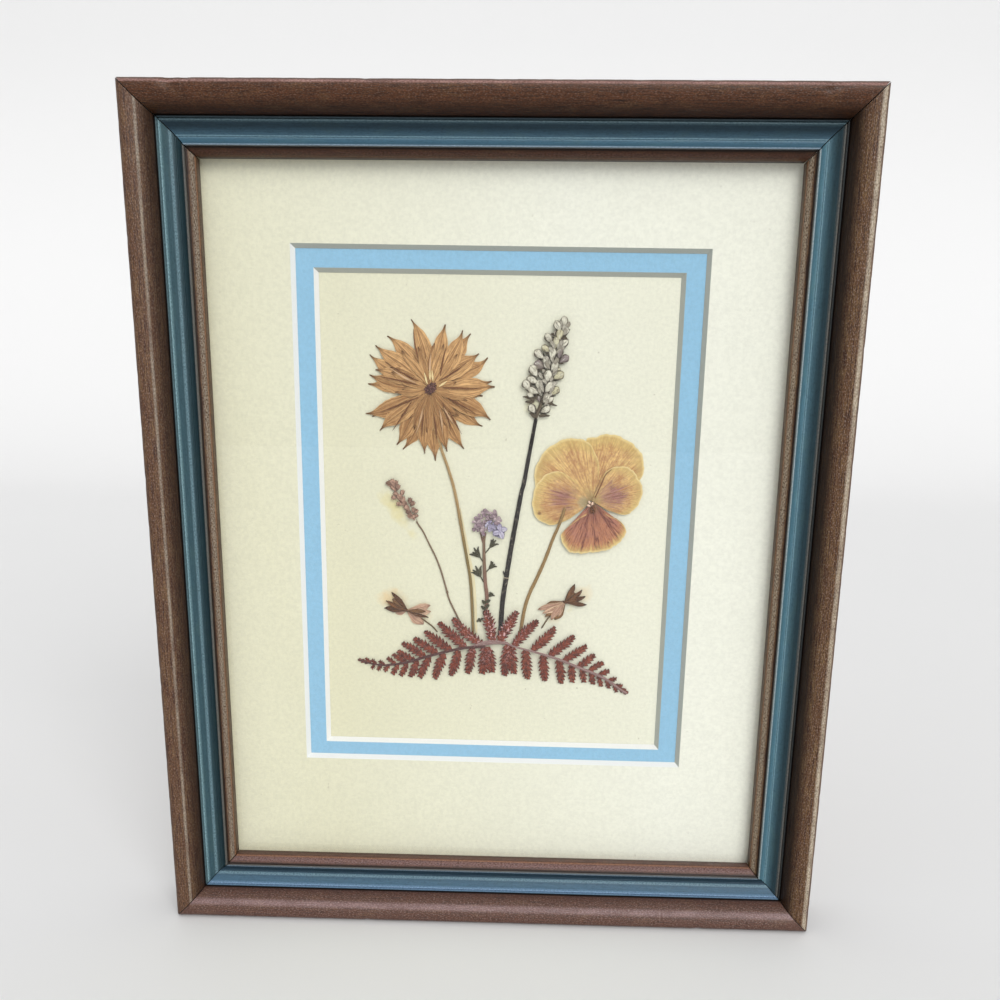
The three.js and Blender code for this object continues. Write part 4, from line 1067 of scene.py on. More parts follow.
def calyx_skin(look):
    """A bleached calyx, some flushed mauve: pale and glassy on top, with painted shade where its sides turn
    away and painted glints on its top.
    """
    skin = Finish("bleached_calyx", roughness=0.5, specular_ior_level=0.2)
    uv = skin.along()
    u, v = skin.split(uv, "X"), skin.split(uv, "Y")
    shade = skin.mark("shade")
    around = skin.maths("MULTIPLY", skin.maths("SUBTRACT", v, 0.5), 2 * math.pi)
    side = skin.maths("ABSOLUTE", skin.maths("COSINE", around))
    ribs = skin.noise(skin.stretched(2.0, 22.0, 30.0), 1.0, 3, 0.6)
    side = skin.maths("ADD", side, skin.range(ribs, 0.3, 0.7, -0.16, 0.16))
    smudge = skin.noise(skin.place(), 700, 4, 0.6)
    top = skin.over(look.floret, tone(142, 128, 126), shade, 0.8, 0.86)
    top = skin.over(top, tone(204, 196, 146), shade, 0.14, 0.1, 0.6)
    top = skin.over(top, tone(136, 128, 108), smudge, 0.48, 0.62, 0.6)
    dark = look.floret_dark
    # Painted shade where the calyx's sides turn away.
    colour_now = skin.over(top, dark, side, 0.62, 0.9, 0.95)
    colour_now = skin.over(colour_now, dark, u, 0.24, 0.06, 0.85)
    colour_now = skin.over(colour_now, dark, u, 0.88, 0.98, 0.6)
    colour_now = skin.over(colour_now, dark, ribs, 0.54, 0.64, 0.6)
    # Painted glints on the top of the calyx.
    glint = skin.maths("MULTIPLY", skin.range(ribs, 0.42, 0.34), skin.range(side, 0.35, 0.1, 0, 0.8))
    colour_now = skin.mix(glint, colour_now, tone(240, 238, 226))
    return skin.set(base_color=colour_now, normal=skin.relief(ribs, 0.8, 0.0002))


class FLOWERFRAME_OT_lavender(bpy.types.Operator):
    """Model the tall spike: ribbed pale calyxes, dark bracts and the black-brown stem"""

    bl_idname = "flower_frame.lavender"
    bl_label = "Lavender"

    def execute(self, context):
        look = context.scene.frame_plants
        draw = random.Random(9)
        dark = look.floret_dark
        bract_skin = dried("dark_bract", tone(112, 100, 80), dark, (2, 6))
        flake_skin = dried("calyx_flake", tone(218, 214, 198), tone(140, 130, 112), (1.4, 7),
                           0.75, 0.5, 0.5, 0.6, tone(88, 78, 66), crisp=0.1)
        florets, bracts, flakes = [], [], []
        for i in range(26):
            share = i / 26
            x, y = (axis.item() for axis in Line(LAVENDER_AXIS).point(0.16 + 0.82 * share))
            way = draw.choice((-1, 1))
            middle = (x + way * draw.uniform(0.3, 3.2) * (1 - 0.6 * share), y + draw.uniform(-0.8, 0.8))
            florets.append(pod(middle, draw.uniform(2.2, 3.2), draw.uniform(1.3, 1.9), 1.0,
                               -way * draw.uniform(0.2, 1.1), 0.1, 0.62, 0.09, 50 + i, draw.random(),
                               (10, 14)))
        for i, (x, y, width, turn) in enumerate(LAVENDER_FLORETS):
            lift = 0.45 + 0.45 * (i % 2)
            florets.append(pod((x, y), draw.uniform(1.5, 1.8) * width, draw.uniform(0.95, 1.2) * width, 1.4,
                               turn + draw.uniform(-0.4, 0.4), lift, draw.uniform(0.58, 0.68), 0.08, i,
                               draw.random(), (14, 20)))
            ahead = Vector((-math.sin(turn), math.cos(turn)))
            root = Vector((x, y)) - 0.8 * width * ahead
            for way in (-1, 1):
                tip = root + 0.6 * width * ahead + way * 0.5 * width * Vector((ahead.y, -ahead.x))
                bracts.append(petal(root, tip, profile((0, 0.3), (0.4, 0.4), (1, 0.05)),
                                    0.4 + 0.9 * (i % 2), 10, 6, seed=i, shade=draw.random()))
        for i in range(46):
            share = draw.random()
            x, y = (axis.item() for axis in Line(LAVENDER_AXIS).point(0.14 + 0.84 * share))
            way = draw.choice((-1, 1))
            root = (x + way * draw.uniform(0, 2.6) * (1 - 0.6 * share), y)
            tip = (root[0] + way * draw.uniform(0.3, 1.7), y + draw.uniform(1.4, 2.6))
            flakes.append(petal(root, tip, profile((0, 0.2), (0.55, 0.62), (0.85, 0.5), (1, 0.08)),
                                draw.uniform(1.3, 2.3), 12, 8, draw.uniform(-0.3, 0.3), 0.2, 0.1, 0.2, 0.15,
                                600 + 5 * i, draw.random()))
        for i, (root, tip) in enumerate(LAVENDER_BRACTS):
            bracts.append(petal(root, tip, profile((0, 0.35), (0.35, 0.62), (0.7, 0.35), (1, 0.03)),
                                1.2, 14, 6, 0.3, 0.3, 0.1, 0.15, 0.1, 40 + i, draw.random()))
        bark = stalk("dark_stem", look.dark_stem, shaded(look.dark_stem, 0.4), 0.4)
        axis = [stem("axis", LAVENDER_AXIS, 1.1, 0.7, lambda x: np.interp(x, (13, 15), (0.8, 0.1)),
                     (1, 0.4), 0.08)]
        for spray in LAVENDER_SPRAYS:
            axis.append(stem("spray", spray, 0.4, 0.4, 0.6))
        plant("lavender_bloom", "pale_florets", "lavender_head", bodies(calyx_skin(look), florets),
              sheets(flake_skin, flakes, 0.1), sheets(bract_skin, bracts), bodies(bract_skin, axis))

        _, _, aside = directions((5.6, -3.2), (4.1, -13.3))
        ring = stem("node_ring", [Vector(LAVENDER_NODE) - 1.0 * aside, Vector(LAVENDER_NODE) + 1.0 * aside],
                    0.5, 1.15, 0.1, (1, 1))
        thorn = pod((3.1, -12.9), 2.0, 0.6, 0.5, 0.35, 0.4, 0.35)
        pale_ring = stalk("node_scar", tone(196, 182, 156), tone(120, 106, 88))
        plant("lavender_stalk", "dark_stem", "lavender_stem",
              bodies(bark, [stem("stem", LAVENDER_STEM, 1.6, 1.0, 0.1, (0.7, 1.05), 0.09, 7), thorn]),
              bodies(pale_ring, [ring]))
        return {"FINISHED"}


PANSY_LIFT = 0.45   # millimetres from the card to the lowest petal
# Each petal from back to front: level, shade, and its root followed by its rim.
PANSY_PETALS = [
    (0, 0.2, (33, 13.5), [(33, 25), (30.4, 33.4), (33.7, 34.9), (37.6, 35.9), (41.3, 35.3), (45.9, 33),
                          (49.4, 29.4), (50.4, 25.2), (49.4, 20.6), (42, 15)]),
    (1, 0.35, (33.2, 13.2), [(35.1, 21), (35.2, 23.7), (34.6, 27.4), (32.3, 31.9), (30.4, 33.4),
                             (27.4, 34.4), (21, 33.2), (15.3, 28.3), (13.1, 21.5), (15, 15.5), (24, 13)]),
    (2, 0.5, (33, 13.2), [(35.8, 20.1), (37.2, 22.8), (39.9, 24.7), (43.2, 25.1), (46.6, 23.9),
                          (50.1, 18.4), (50.1, 15.1), (48.7, 11.6), (44.9, 8.5), (38.6, 9.9)]),
    (2, 0.6, (32.6, 12.6), [(29.7, 17.2), (26.6, 20.2), (21.3, 23.1), (16.4, 21.4), (13, 16), (13.3, 8.2),
                            (18.4, 4.6), (23.9, 5.9), (29.1, 9.4)]),
    (3, 1.0, (33.2, 13), [(31.3, 8.3), (28.5, 6.6), (23.4, 2.2), (22.9, -0.4), (26.1, -4.8), (33.6, -4.9),
                          (40.4, -3.2), (44.9, 1.3), (44.1, 5.3), (38.1, 8.4)]),
]
PANSY_STEM = [(23.9, 10.9), (23.2, 8.4), (22.3, 5.6), (21.4, 3), (20, -0.5), (17.4, -8), (14.4, -15.3),
              (12.4, -19.8), (10.7, -25.4), (9.4, -33.7), (9.1, -36.4)]
PANSY_THROAT = [((32.2, 12.7), 0.5), ((33.2, 12.3), -0.3), ((32.0, 11.6), 1.2)]   # places and turns
PANSY_BLOTCHES = [((22.6, 13.6), 5.8), ((40.8, 15.2), 5.6)]
PANSY_SPOTS = [((30.2, 12.6), 2.4, (186, 170, 136)), ((15.2, 8.6), 0.8, (110, 66, 50))]


def pansy_petal(level, shade, root, rim, seed):
    """A rounded petal fanned from its root to a wavy rim, with soft pleats."""
    line = Line(rim)
    first, last = Vector(rim[0]) - Vector(root), Vector(rim[-1]) - Vector(root)
    backwards = first.cross(last) < 0

    def place(u, v):
        share = (1 - v if backwards else 1 + v) / 2
        rim_x, rim_y = line.point(share)
        reach = u * (1 + 0.012 * ripple(share * 60, seed) * u ** 4)
        round_it = np.sin(np.pi * share) ** 0.3
        pleats = 0.1 * u * ripple(share * 20, seed + 1) + 0.16 * u ** 6 * ripple(share * 45, seed + 2)
        high = PANSY_LIFT + 0.3 * level + pleats * round_it - 0.1 * u * u
        return on_card(root[0] + (rim_x - root[0]) * reach, root[1] + (rim_y - root[1]) * reach,
                       np.clip(high, 0.2, HIGHEST_MM))

    return shaped_grid("petal", 34, 90, place, shade)


def pansy_skin(look):
    """Veined petals with pale rims, two ragged blotches and a mauve-brown lower petal."""
    skin = Finish("pansy_petal", roughness=0.8, specular_ior_level=0.1)
    u = skin.split(skin.along(), "X")
    shade = skin.mark("shade")
    place = skin.place()

    def fan(count, stretch, warp=0.5):
        """Lines that spread from the root of the petal to its rim."""
        return skin.noise(skin.stretched(stretch, count, 20.0), 1.0, 4, 0.6, warp)

    def lines(field, width, strength):
        """Thin crisp lines where a field crosses its middle."""
        return skin.range(skin.gap(field, 0.5), width, 0.2 * width, 0, strength)

    veins, threads, broad = fan(40.0, 1.6), fan(60.0, 2.4, 0.3), fan(16.0, 0.9)
    cloud = skin.noise(place, 170, 5, 0.68, 0.5)
    fine = skin.noise(place, 1000, 3, 0.6)
    rust, mauve = tone(170, 112, 78), look.blotch
    petal_now = skin.over(look.pansy, rust, cloud, 0.45, 0.62, 0.6)
    petal_now = skin.over(petal_now, tone(218, 192, 128), cloud, 0.46, 0.34, 0.55)
    petal_now = skin.over(petal_now, tone(166, 112, 70), veins, 0.5, 0.6, 0.55)
    petal_now = skin.mix(lines(threads, 0.04, 0.5), petal_now, tone(146, 94, 62))
    petal_now = skin.over(petal_now, rust, fine, 0.45, 0.65, 0.4)
    rimmed = skin.maths("ADD", u, skin.range(threads, 0.3, 0.7, -0.07, 0.07))
    petal_now = skin.over(petal_now, tone(208, 184, 116), rimmed, 0.78, 0.93, 0.6)
    wine = skin.over(mauve, tone(110, 58, 60), threads, 0.48, 0.54, 0.85)
    for (x, y), radius in PANSY_BLOTCHES:
        far = skin.distance(place, Vector(on_card(x, y, 1.0)))
        ragged = skin.maths("ADD", far, skin.range(veins, 0.3, 0.7, -0.0034, 0.0034))
        ragged = skin.maths("ADD", ragged, skin.range(cloud, 0.3, 0.7, -0.0022, 0.0022))
        petal_now = skin.over(petal_now, wine, ragged, radius * MM, 0.25 * radius * MM, 0.85)
    deep = skin.over(tone(178, 122, 102), tone(190, 130, 92), cloud, 0.4, 0.6, 0.7)
    deep = skin.over(deep, tone(200, 140, 92), u, 0.66, 0.9, 0.75)
    deep = skin.over(deep, tone(152, 96, 80), fine, 0.45, 0.65, 0.4)
    deep = skin.mix(lines(broad, 0.035, 0.85), deep, tone(92, 42, 40))
    deep = skin.mix(lines(threads, 0.04, 0.5), deep, tone(112, 60, 52))
    deep = skin.over(deep, tone(104, 52, 46), u, 0.5, 0.2, 0.5)
    for (x, y), radius, tint in PANSY_SPOTS:
        far = skin.maths("ADD", skin.distance(place, Vector(on_card(x, y, 1.0))),
                         skin.range(fine, 0.3, 0.7, -0.0004, 0.0004))
        petal_now = skin.over(petal_now, tone(*tint), far, radius * MM, 0.5 * radius * MM, 0.75)
    fade = skin.range(rimmed, 0.99, 0.84)
    lower = skin.maths("MULTIPLY", skin.range(shade, 0.8, 0.9), fade)
    petal_now = skin.mix(lower, petal_now, deep)
    petal_now = skin.over(petal_now, tone(238, 218, 158), u, 0.955, 0.99, 0.75)
    petal_now = skin.over(petal_now, tone(150, 134, 92), u, 0.26, 0.06, 0.6)
    return skin.set(base_color=petal_now, normal=skin.relief(veins, 0.9, 0.0003))


class FLOWERFRAME_OT_pansy(bpy.types.Operator):
    """Model the yellow pansy: five veined petals, its eye and its stem"""

    bl_idname = "flower_frame.pansy"
    bl_label = "Pansy"

    def execute(self, context):
        look = context.scene.frame_plants
        petals = [pansy_petal(level, shade, root, rim, 50 + 7 * i)
                  for i, (level, shade, root, rim) in enumerate(PANSY_PETALS)]
        straw = stalk("pansy_stem", tone(162, 132, 84), tone(118, 94, 56))
        fold = dried("petal_fold", tone(150, 104, 62), tone(112, 72, 44))
        eye = dried("pansy_eye", tone(150, 92, 44), tone(58, 34, 24), (2, 5))
        pale = stalk("pansy_throat", tone(248, 222, 198), tone(222, 178, 148))
        edge = stem("fold", [(34, 14), (35.9, 18.6), (37.6, 22.4), (39.6, 24.2)], 0.4, 0.3, 1.1, (0.7, 0.3))
        draw = random.Random(3)
        eyes = [pod((33.4 + draw.uniform(-0.9, 0.9), 10.4 + draw.uniform(-1.1, 1.1)), 1.3, 0.8, 0.6,
                    draw.uniform(-1.2, 1.2), 1.5, seed=i, shade=draw.random(), size=(6, 8))
                for i in range(9)]
        throat = [pod(place, 1.5, 0.8, 0.6, turn, 1.55, seed=i, size=(6, 8))
                  for i, (place, turn) in enumerate(PANSY_THROAT)]
        plant("pansy_bloom", "yellow_petals", "pansy_head", sheets(pansy_skin(look), petals, 0.16),
              bodies(fold, [edge]), bodies(eye, eyes), bodies(pale, throat))
        over_petal = [stem("stem", PANSY_STEM, 1.2, 0.7, lambda x: np.interp(x, (20.6, 22.3), (0.1, 1.25)),
                           (0.8, 1.0), 0.06, 11)]
        plant("pansy_stalk", "straw_stem", "pansy_stem", bodies(straw, over_petal))
        return {"FINISHED"}


SMALL_SPIKE_AXIS = [(-28.1, 5.35), (-30.6, 9), (-33.2, 12.4), (-35.6, 16.6)]
# Buds of the small brown spike: place, size and turn to the left.
SMALL_SPIKE_BUDS = [
    (-36.6, 17.9, 2.6, 1.0), (-35.6, 18.4, 2.6, 0.4), (-34.6, 17.9, 2.5, 0.0), (-33.9, 16.7, 2.3, -0.3),
    (-35.4, 16.6, 2.8, 0.6), (-37.3, 18.1, 1.6, 1.2), (-34.5, 14.2, 2.4, 0.7), (-35.2, 13.2, 2.0, 1.4),
    (-32.4, 14.8, 2.2, -0.2), (-33.3, 13.3, 2.6, 0.5), (-32.2, 12.4, 2.6, 0.3), (-33.4, 11, 2.2, 1.3),
    (-31.6, 10.9, 2.7, 0.6), (-29.8, 12.2, 2.2, -0.2), (-29, 11.1, 2.3, -0.6), (-30.7, 9.6, 2.7, 0.7),
    (-30.1, 8.1, 2.4, 0.9), (-28.6, 9, 2.0, -0.2), (-27.8, 8.4, 2.0, -0.5), (-29.5, 6.8, 2.6, 0.8),
    (-28.5, 6.4, 2.2, 0.1), (-27.6, 6.9, 1.6, -0.8),
]
SMALL_SPIKE_STEM = [(-27.85, 5), (-25.5, 1.6), (-23.3, -2.9), (-21, -7.6), (-19.1, -12.6), (-17.2, -19.3),
                    (-16.1, -23.2), (-12.6, -30.6), (-12.1, -32.2)]


class FLOWERFRAME_OT_small_spike(bpy.types.Operator):
    """Model the small brown spike on its thread-like stem"""

    bl_idname = "flower_frame.small_spike"
    bl_label = "Small Spike"

    def execute(self, context):
        look = context.scene.frame_plants
        brown = look.brown
        bud_skin = dried("brown_bud", tone(198, 160, 138), tone(88, 60, 44), (2.5, 7), 0.7, 0.3, 0.9, 0.6,
                         crisp=0.08)
        thread = stalk("thread_stem", tone(138, 116, 92), tone(98, 80, 60))
        draw = random.Random(12)
        buds, husks = [], []
        for i, (x, y, size, turn) in enumerate(SMALL_SPIKE_BUDS):
            buds.append(pod((x, y), 1.1 * size, 0.68 * size, 1.1, turn, 0.3 + 0.5 * (i % 2), 0.6, 0.12, i,
                            draw.random(), (12, 14)))
            ahead = Vector((-math.sin(turn), math.cos(turn)))
            root = Vector((x, y)) - 0.3 * size * ahead
            for way in (-0.35, 0.35):
                tip = root + 0.8 * size * ahead + way * size * Vector((ahead.y, -ahead.x))
                husks.append(petal(root, tip, profile((0, 0.18), (0.45, 0.26), (1, 0.04)),
                                   0.9 + 0.5 * (i % 2), 10, 5, seed=i, shade=draw.random()))
        axis = [stem("axis", SMALL_SPIKE_AXIS, 1.1, 0.8, 0.2)]
        second = stem("second", [(-27.6, 5.8), (-26.9, 3.4), (-26, 2.2)], 0.3, 0.3, 0.3)
        plant("small_spike_bloom", "brown_flowers", "small_lavender_head", bodies(bud_skin, buds),
              sheets(bud_skin, husks), bodies(stalk("brown_axis", brown, shaded(brown, 0.5)), axis))
        knot = pod((-16.9, -20.3), 1.5, 0.9, 0.6, 0.2, 0.1)
        main_stem = stem("stem", SMALL_SPIKE_STEM, 0.6, 0.5, 0.1, (0.8, 1), 0.05, 13)
        plant("small_spike_stalk", "brown_flowers", "small_lavender_stem",
              bodies(thread, [main_stem, second, knot]))
        return {"FINISHED"}


BLOSSOM_FLORETS = [
    (-3.8, 8.4), (-1, 7.9), (-5.6, 6.7), (-6.6, 4.9), (-6.8, 2.9), (-4.3, 4.6), (-2.1, 4.4), (0.5, 5.8),
    (2.1, 2.9), (1.3, 1.3), (-0.9, 2.3), (-4, 2.4), (-2.3, 6.3), (-5.3, 3.6), (-0.2, 4),
]
# The trumpet-like floret at the lower right: roots and tips of its lobes.
BLOSSOM_TRUMPET = [((1.2, 2.3), (4.1, 3.2)), ((1.4, 2.5), (2.8, -0.5)), ((1.6, 2.2), (1.4, 5)),
                   ((1.8, 2.4), (-0.9, 1.2))]
BLOSSOM_STEM = [(-3.4, 1.6), (-4, -1), (-4, -5.7), (-3.8, -11.2), (-3.4, -17), (-2.8, -22.1), (-3.3, -27.3)]
BLOSSOM_FORK = [(-5.6, 2.2), (-4.8, -0.6), (-4.1, -3.4)]
# Side buds: where they leave the stem, the knee, and the tip.
BLOSSOM_BUDS = [
    ((-4, -6.6), (-1.9, -3.9), (-0.1, -1.4)), ((-3.9, -9.6), (-5.4, -7.4), (-7.9, -4.7)),
    ((-3.7, -13.4), (-2.1, -11.5), (0, -9.2)), ((-3.4, -17.4), (-5.1, -14.4), (-7.4, -11.2)),
    ((-2.9, -22.4), (-2.3, -21.6), (-0.6, -20.2)),
]
BLOSSOM_WHORL = [(-4.6, -22.9), (-1.6, -22.6), (-4.9, -25), (-1.9, -24.4), (-4.2, -26.9), (-2.4, -27.2)]
CRUMB = (-5.4, -30.3)


class FLOWERFRAME_OT_blossom(bpy.types.Operator):
    """Model the small purple blossom with the three-lobed buds along its stem"""

    bl_idname = "flower_frame.blossom"
    bl_label = "Purple Blossom"

    def execute(self, context):
        look = context.scene.frame_plants
        lilac = dried("lilac_petal", tone(224, 220, 232), look.lilac, (1.4, 7), 0.75, 0.7, 0.0, 0.5,
                      tone(92, 80, 118), crisp=0.08, folds=0.6)
        plum = dried("plum_petal", tone(232, 212, 212), tone(116, 88, 104), (1.5, 7), 0.7, 0.7, 0.0, 0.6,
                     tone(84, 58, 78), crisp=0.08, folds=0.6)
        draw = random.Random(21)
        groups = {False: [], True: []}
        for i, centre in enumerate(BLOSSOM_FLORETS):
            dim = centre[0] < -2.4 or centre[1] > 5.6
            groups[dim] += self.floret(centre, draw, i)
        for i, (root, tip) in enumerate(BLOSSOM_TRUMPET):
            groups[False].append(petal(root, tip, profile((0, 0.3), (0.45, 0.95), (0.75, 0.7), (1, 0.05)),
                                       1.9 + 0.1 * i, 20, 10, 0.2, 0.2, 0.15, 0.3, 0.12, 90 + i, 0.15 * i))
        plant("blossom", "purple_florets", "purple_blossom_head", sheets(lilac, groups[False]),
              sheets(plum, groups[True]))

        bark = stalk("red_stem", tone(136, 112, 88), tone(98, 72, 56), later=tone(150, 110, 94))
        green = dried("bud_lobe", tone(104, 100, 72), tone(48, 46, 34), (2, 6), 0.5, 0.3, 0.6)
        stems = [stem("stem", BLOSSOM_STEM, 1.25, 0.7, 0.1, (0.7, 1.1), 0.06, 17),
                 stem("fork", BLOSSOM_FORK, 0.6, 0.5, 0.1)]
        lobes, twigs = [], []
        for i, (start, knee, tip) in enumerate(BLOSSOM_BUDS):
            twigs.append(stem("twig", [start, knee], 0.42, 0.4, 0.12, (1, 1)))
            lobes += self.bud(knee, tip, i, draw)
        for i, tip in enumerate(BLOSSOM_WHORL):
            root = (-3, tip[1] - 1.1)
            lobes.append(petal(root, tip, profile((0, 0.3), (0.5, 0.55), (1, 0.05)), 0.9, 10, 6,
                               0.2, 0.2, 0.1, 0.2, 0.1, 60 + i, 0.5))
        for i in range(4):
            lobes.append(petal(CRUMB, (CRUMB[0] + 1.5 - 0.9 * i, CRUMB[1] + 0.7 * (-1) ** i),
                               profile((0, 0.2), (0.6, 0.45), (1, 0.1)), 0.3, 8, 4, seed=i, shade=0.3))
        plant("blossom_stalk", "brown_flowers", "purple_blossom_stem", bodies(bark, stems),
              bodies(green, twigs), sheets(green, lobes, 0.2))
        return {"FINISHED"}

    def floret(self, centre, draw, number):
        """Four or five ruffled petals round a small throat."""
        petals = []
        count = draw.choice((4, 5))
        start = draw.uniform(0, math.pi)
        level = 0.5 + 0.35 * (number % 4)
        for i in range(count):
            angle = start + i * 2 * math.pi / count + draw.uniform(-0.3, 0.3)
            reach = draw.uniform(1.2, 2.0)
            tip = (centre[0] + reach * math.cos(angle), centre[1] + reach * math.sin(angle))
            petals.append(petal(
                centre, tip, profile((0, 0.15), (0.55, 0.62), (0.85, 0.5), (1, 0.12)),
                lambda u, h=level + 0.1 * i: h + 0.25 * u, 12, 8, draw.uniform(-0.4, 0.4), 0, 0.08,
                draw.uniform(-0.3, 0.4), 0.3, 30 * number + i, draw.random()))
        return petals

    def bud(self, knee, tip, number, draw):
        """Four pointed lobes, spread from a cup."""
        length, ahead, _ = directions(knee, tip)
        middle = math.atan2(ahead.y, ahead.x)
        half = profile((0, 0.22), (0.35, 0.14 * length), (0.7, 0.08 * length), (1, 0.02))
        lobes = []
        for spread in (-0.62, -0.12, 0.2, 0.6):
            angle = middle + spread + draw.uniform(-0.08, 0.08)
            reach = length * draw.uniform(0.8, 1.1)
            end = (knee[0] + reach * math.cos(angle), knee[1] + reach * math.sin(angle))
            lobes.append(petal(knee, end, half, 0.35 + 0.15 * abs(spread), 16, 7, -0.4 * spread,
                               0.3 * spread, 0.12, 0.12, 0.06, 70 + number, draw.random()))
        return lobes


# The two nodding flowers. Each lobe has a tip, a half width, a skin and a level; then the stem's line.
BELLS = {
    "left_bell": ((-31.2, -26.9), [
        ((-25.4, -32.2), 1.9, "pale", 0.4), ((-22.9, -25.1), 1.5, "pale", 0.8),
        ((-22.7, -27.3), 1.35, "pale", 1.1), ((-24.5, -27.3), 0.8, "tan", 1.4),
        ((-23.5, -29.5), 0.5, "dark", 1.3), ((-36.4, -23), 1.6, "tan", 0.6),
        ((-36.6, -20.5), 0.8, "dark", 0.9), ((-38.7, -23.6), 0.75, "dark", 1.2),
        ((-39.3, -26.4), 1.15, "dark", 0.9), ((-35.4, -28.4), 1.0, "pale", 0.3)],
        [(-28, -28.7), (-25.1, -30.8), (-22.3, -32.9), (-20.3, -35.1)]),
    "right_bell": ((24.8, -22.9), [
        ((21.4, -29.6), 1.5, "tan", 0.5), ((17.4, -25.6), 1.5, "tan", 0.6),
        ((15.4, -25.9), 1.1, "pale", 0.9), ((17, -27.2), 1.0, "pale", 1.2),
        ((17.9, -28.4), 1.0, "tan", 1.0), ((20.2, -29.5), 1.1, "pale", 1.3),
        ((22.6, -28.2), 1.0, "pale", 1.0), ((29.2, -20.3), 2.0, "tan", 0.5),
        ((28.1, -16.4), 0.95, "dark", 0.9), ((30.7, -18.3), 0.85, "dark", 1.2),
        ((32, -20.7), 0.8, "dark", 1.0), ((32.5, -23.7), 0.85, "dark", 1.3),
        ((29.4, -21.6), 1.1, "dark", 1.4)],
        [(21.5, -26.2), (20, -28), (19, -29.2), (16.7, -33)]),
}


class FLOWERFRAME_OT_bells(bpy.types.Operator):
    """Model the two nodding flowers with their pale and dark lobes"""

    bl_idname = "flower_frame.bells"
    bl_label = "Nodding Flowers"

    def execute(self, context):
        look = context.scene.frame_plants
        skins = {
            "pale": dried("pale_lobe", look.bell, tone(150, 98, 84), (0.9, 12), 0.5, 0.5, 0.4, 0.5,
                          tone(214, 190, 150), crisp=0.07, folds=0.5),
            "tan": dried("tan_lobe", tone(168, 128, 84), tone(104, 70, 44), (1, 12), 0.5, 0.5, 0.5, 0.5,
                         crisp=0.07, folds=0.5),
            "dark": dried("dark_lobe", tone(138, 94, 56), look.bell_dark, (1, 5), 0.9, 0.7, 0.95, 0.65,
                          crisp=0.05, folds=0.8),
        }
        thread = stalk("bell_stem", tone(116, 94, 58), tone(74, 56, 34))
        draw = random.Random(31)
        slender = profile((0, 0.12), (0.25, 0.5), (0.6, 1), (0.82, 0.72), (1, 0.08))
        for name, (neck, lobes, line) in BELLS.items():
            groups = {kind: [] for kind in skins}
            for i, (tip, half, kind, level) in enumerate(lobes):
                groups[kind].append(petal(
                    neck, tip, lambda u, w=half: w * slender(u), lambda u, h=level: h + 0.5 * (1 - u) ** 3,
                    30, 12, draw.uniform(-0.5, 0.5), draw.uniform(-0.3, 0.3), 0.15, draw.uniform(0, 0.3),
                    0.18, 400 + 5 * i, draw.random()))
            knot = [pod(neck, 1.5, 1.1, 0.9, 0.9, 1.0, ribs=0.08), pod(neck, 2.2, 0.6, 0.6, 0.9, 1.2)]
            plant(name + "_bloom", "bell_petals", name + "_head",
                  *(sheets(skins[k], groups[k]) for k in skins), bodies(skins["dark"], knot))
            plant(name + "_stalk", "brown_flowers", name + "_stem",
                  bodies(thread, [stem("stem", line, 0.5, 0.45, 0.1, (0.8, 1))]))
        return {"FINISHED"}


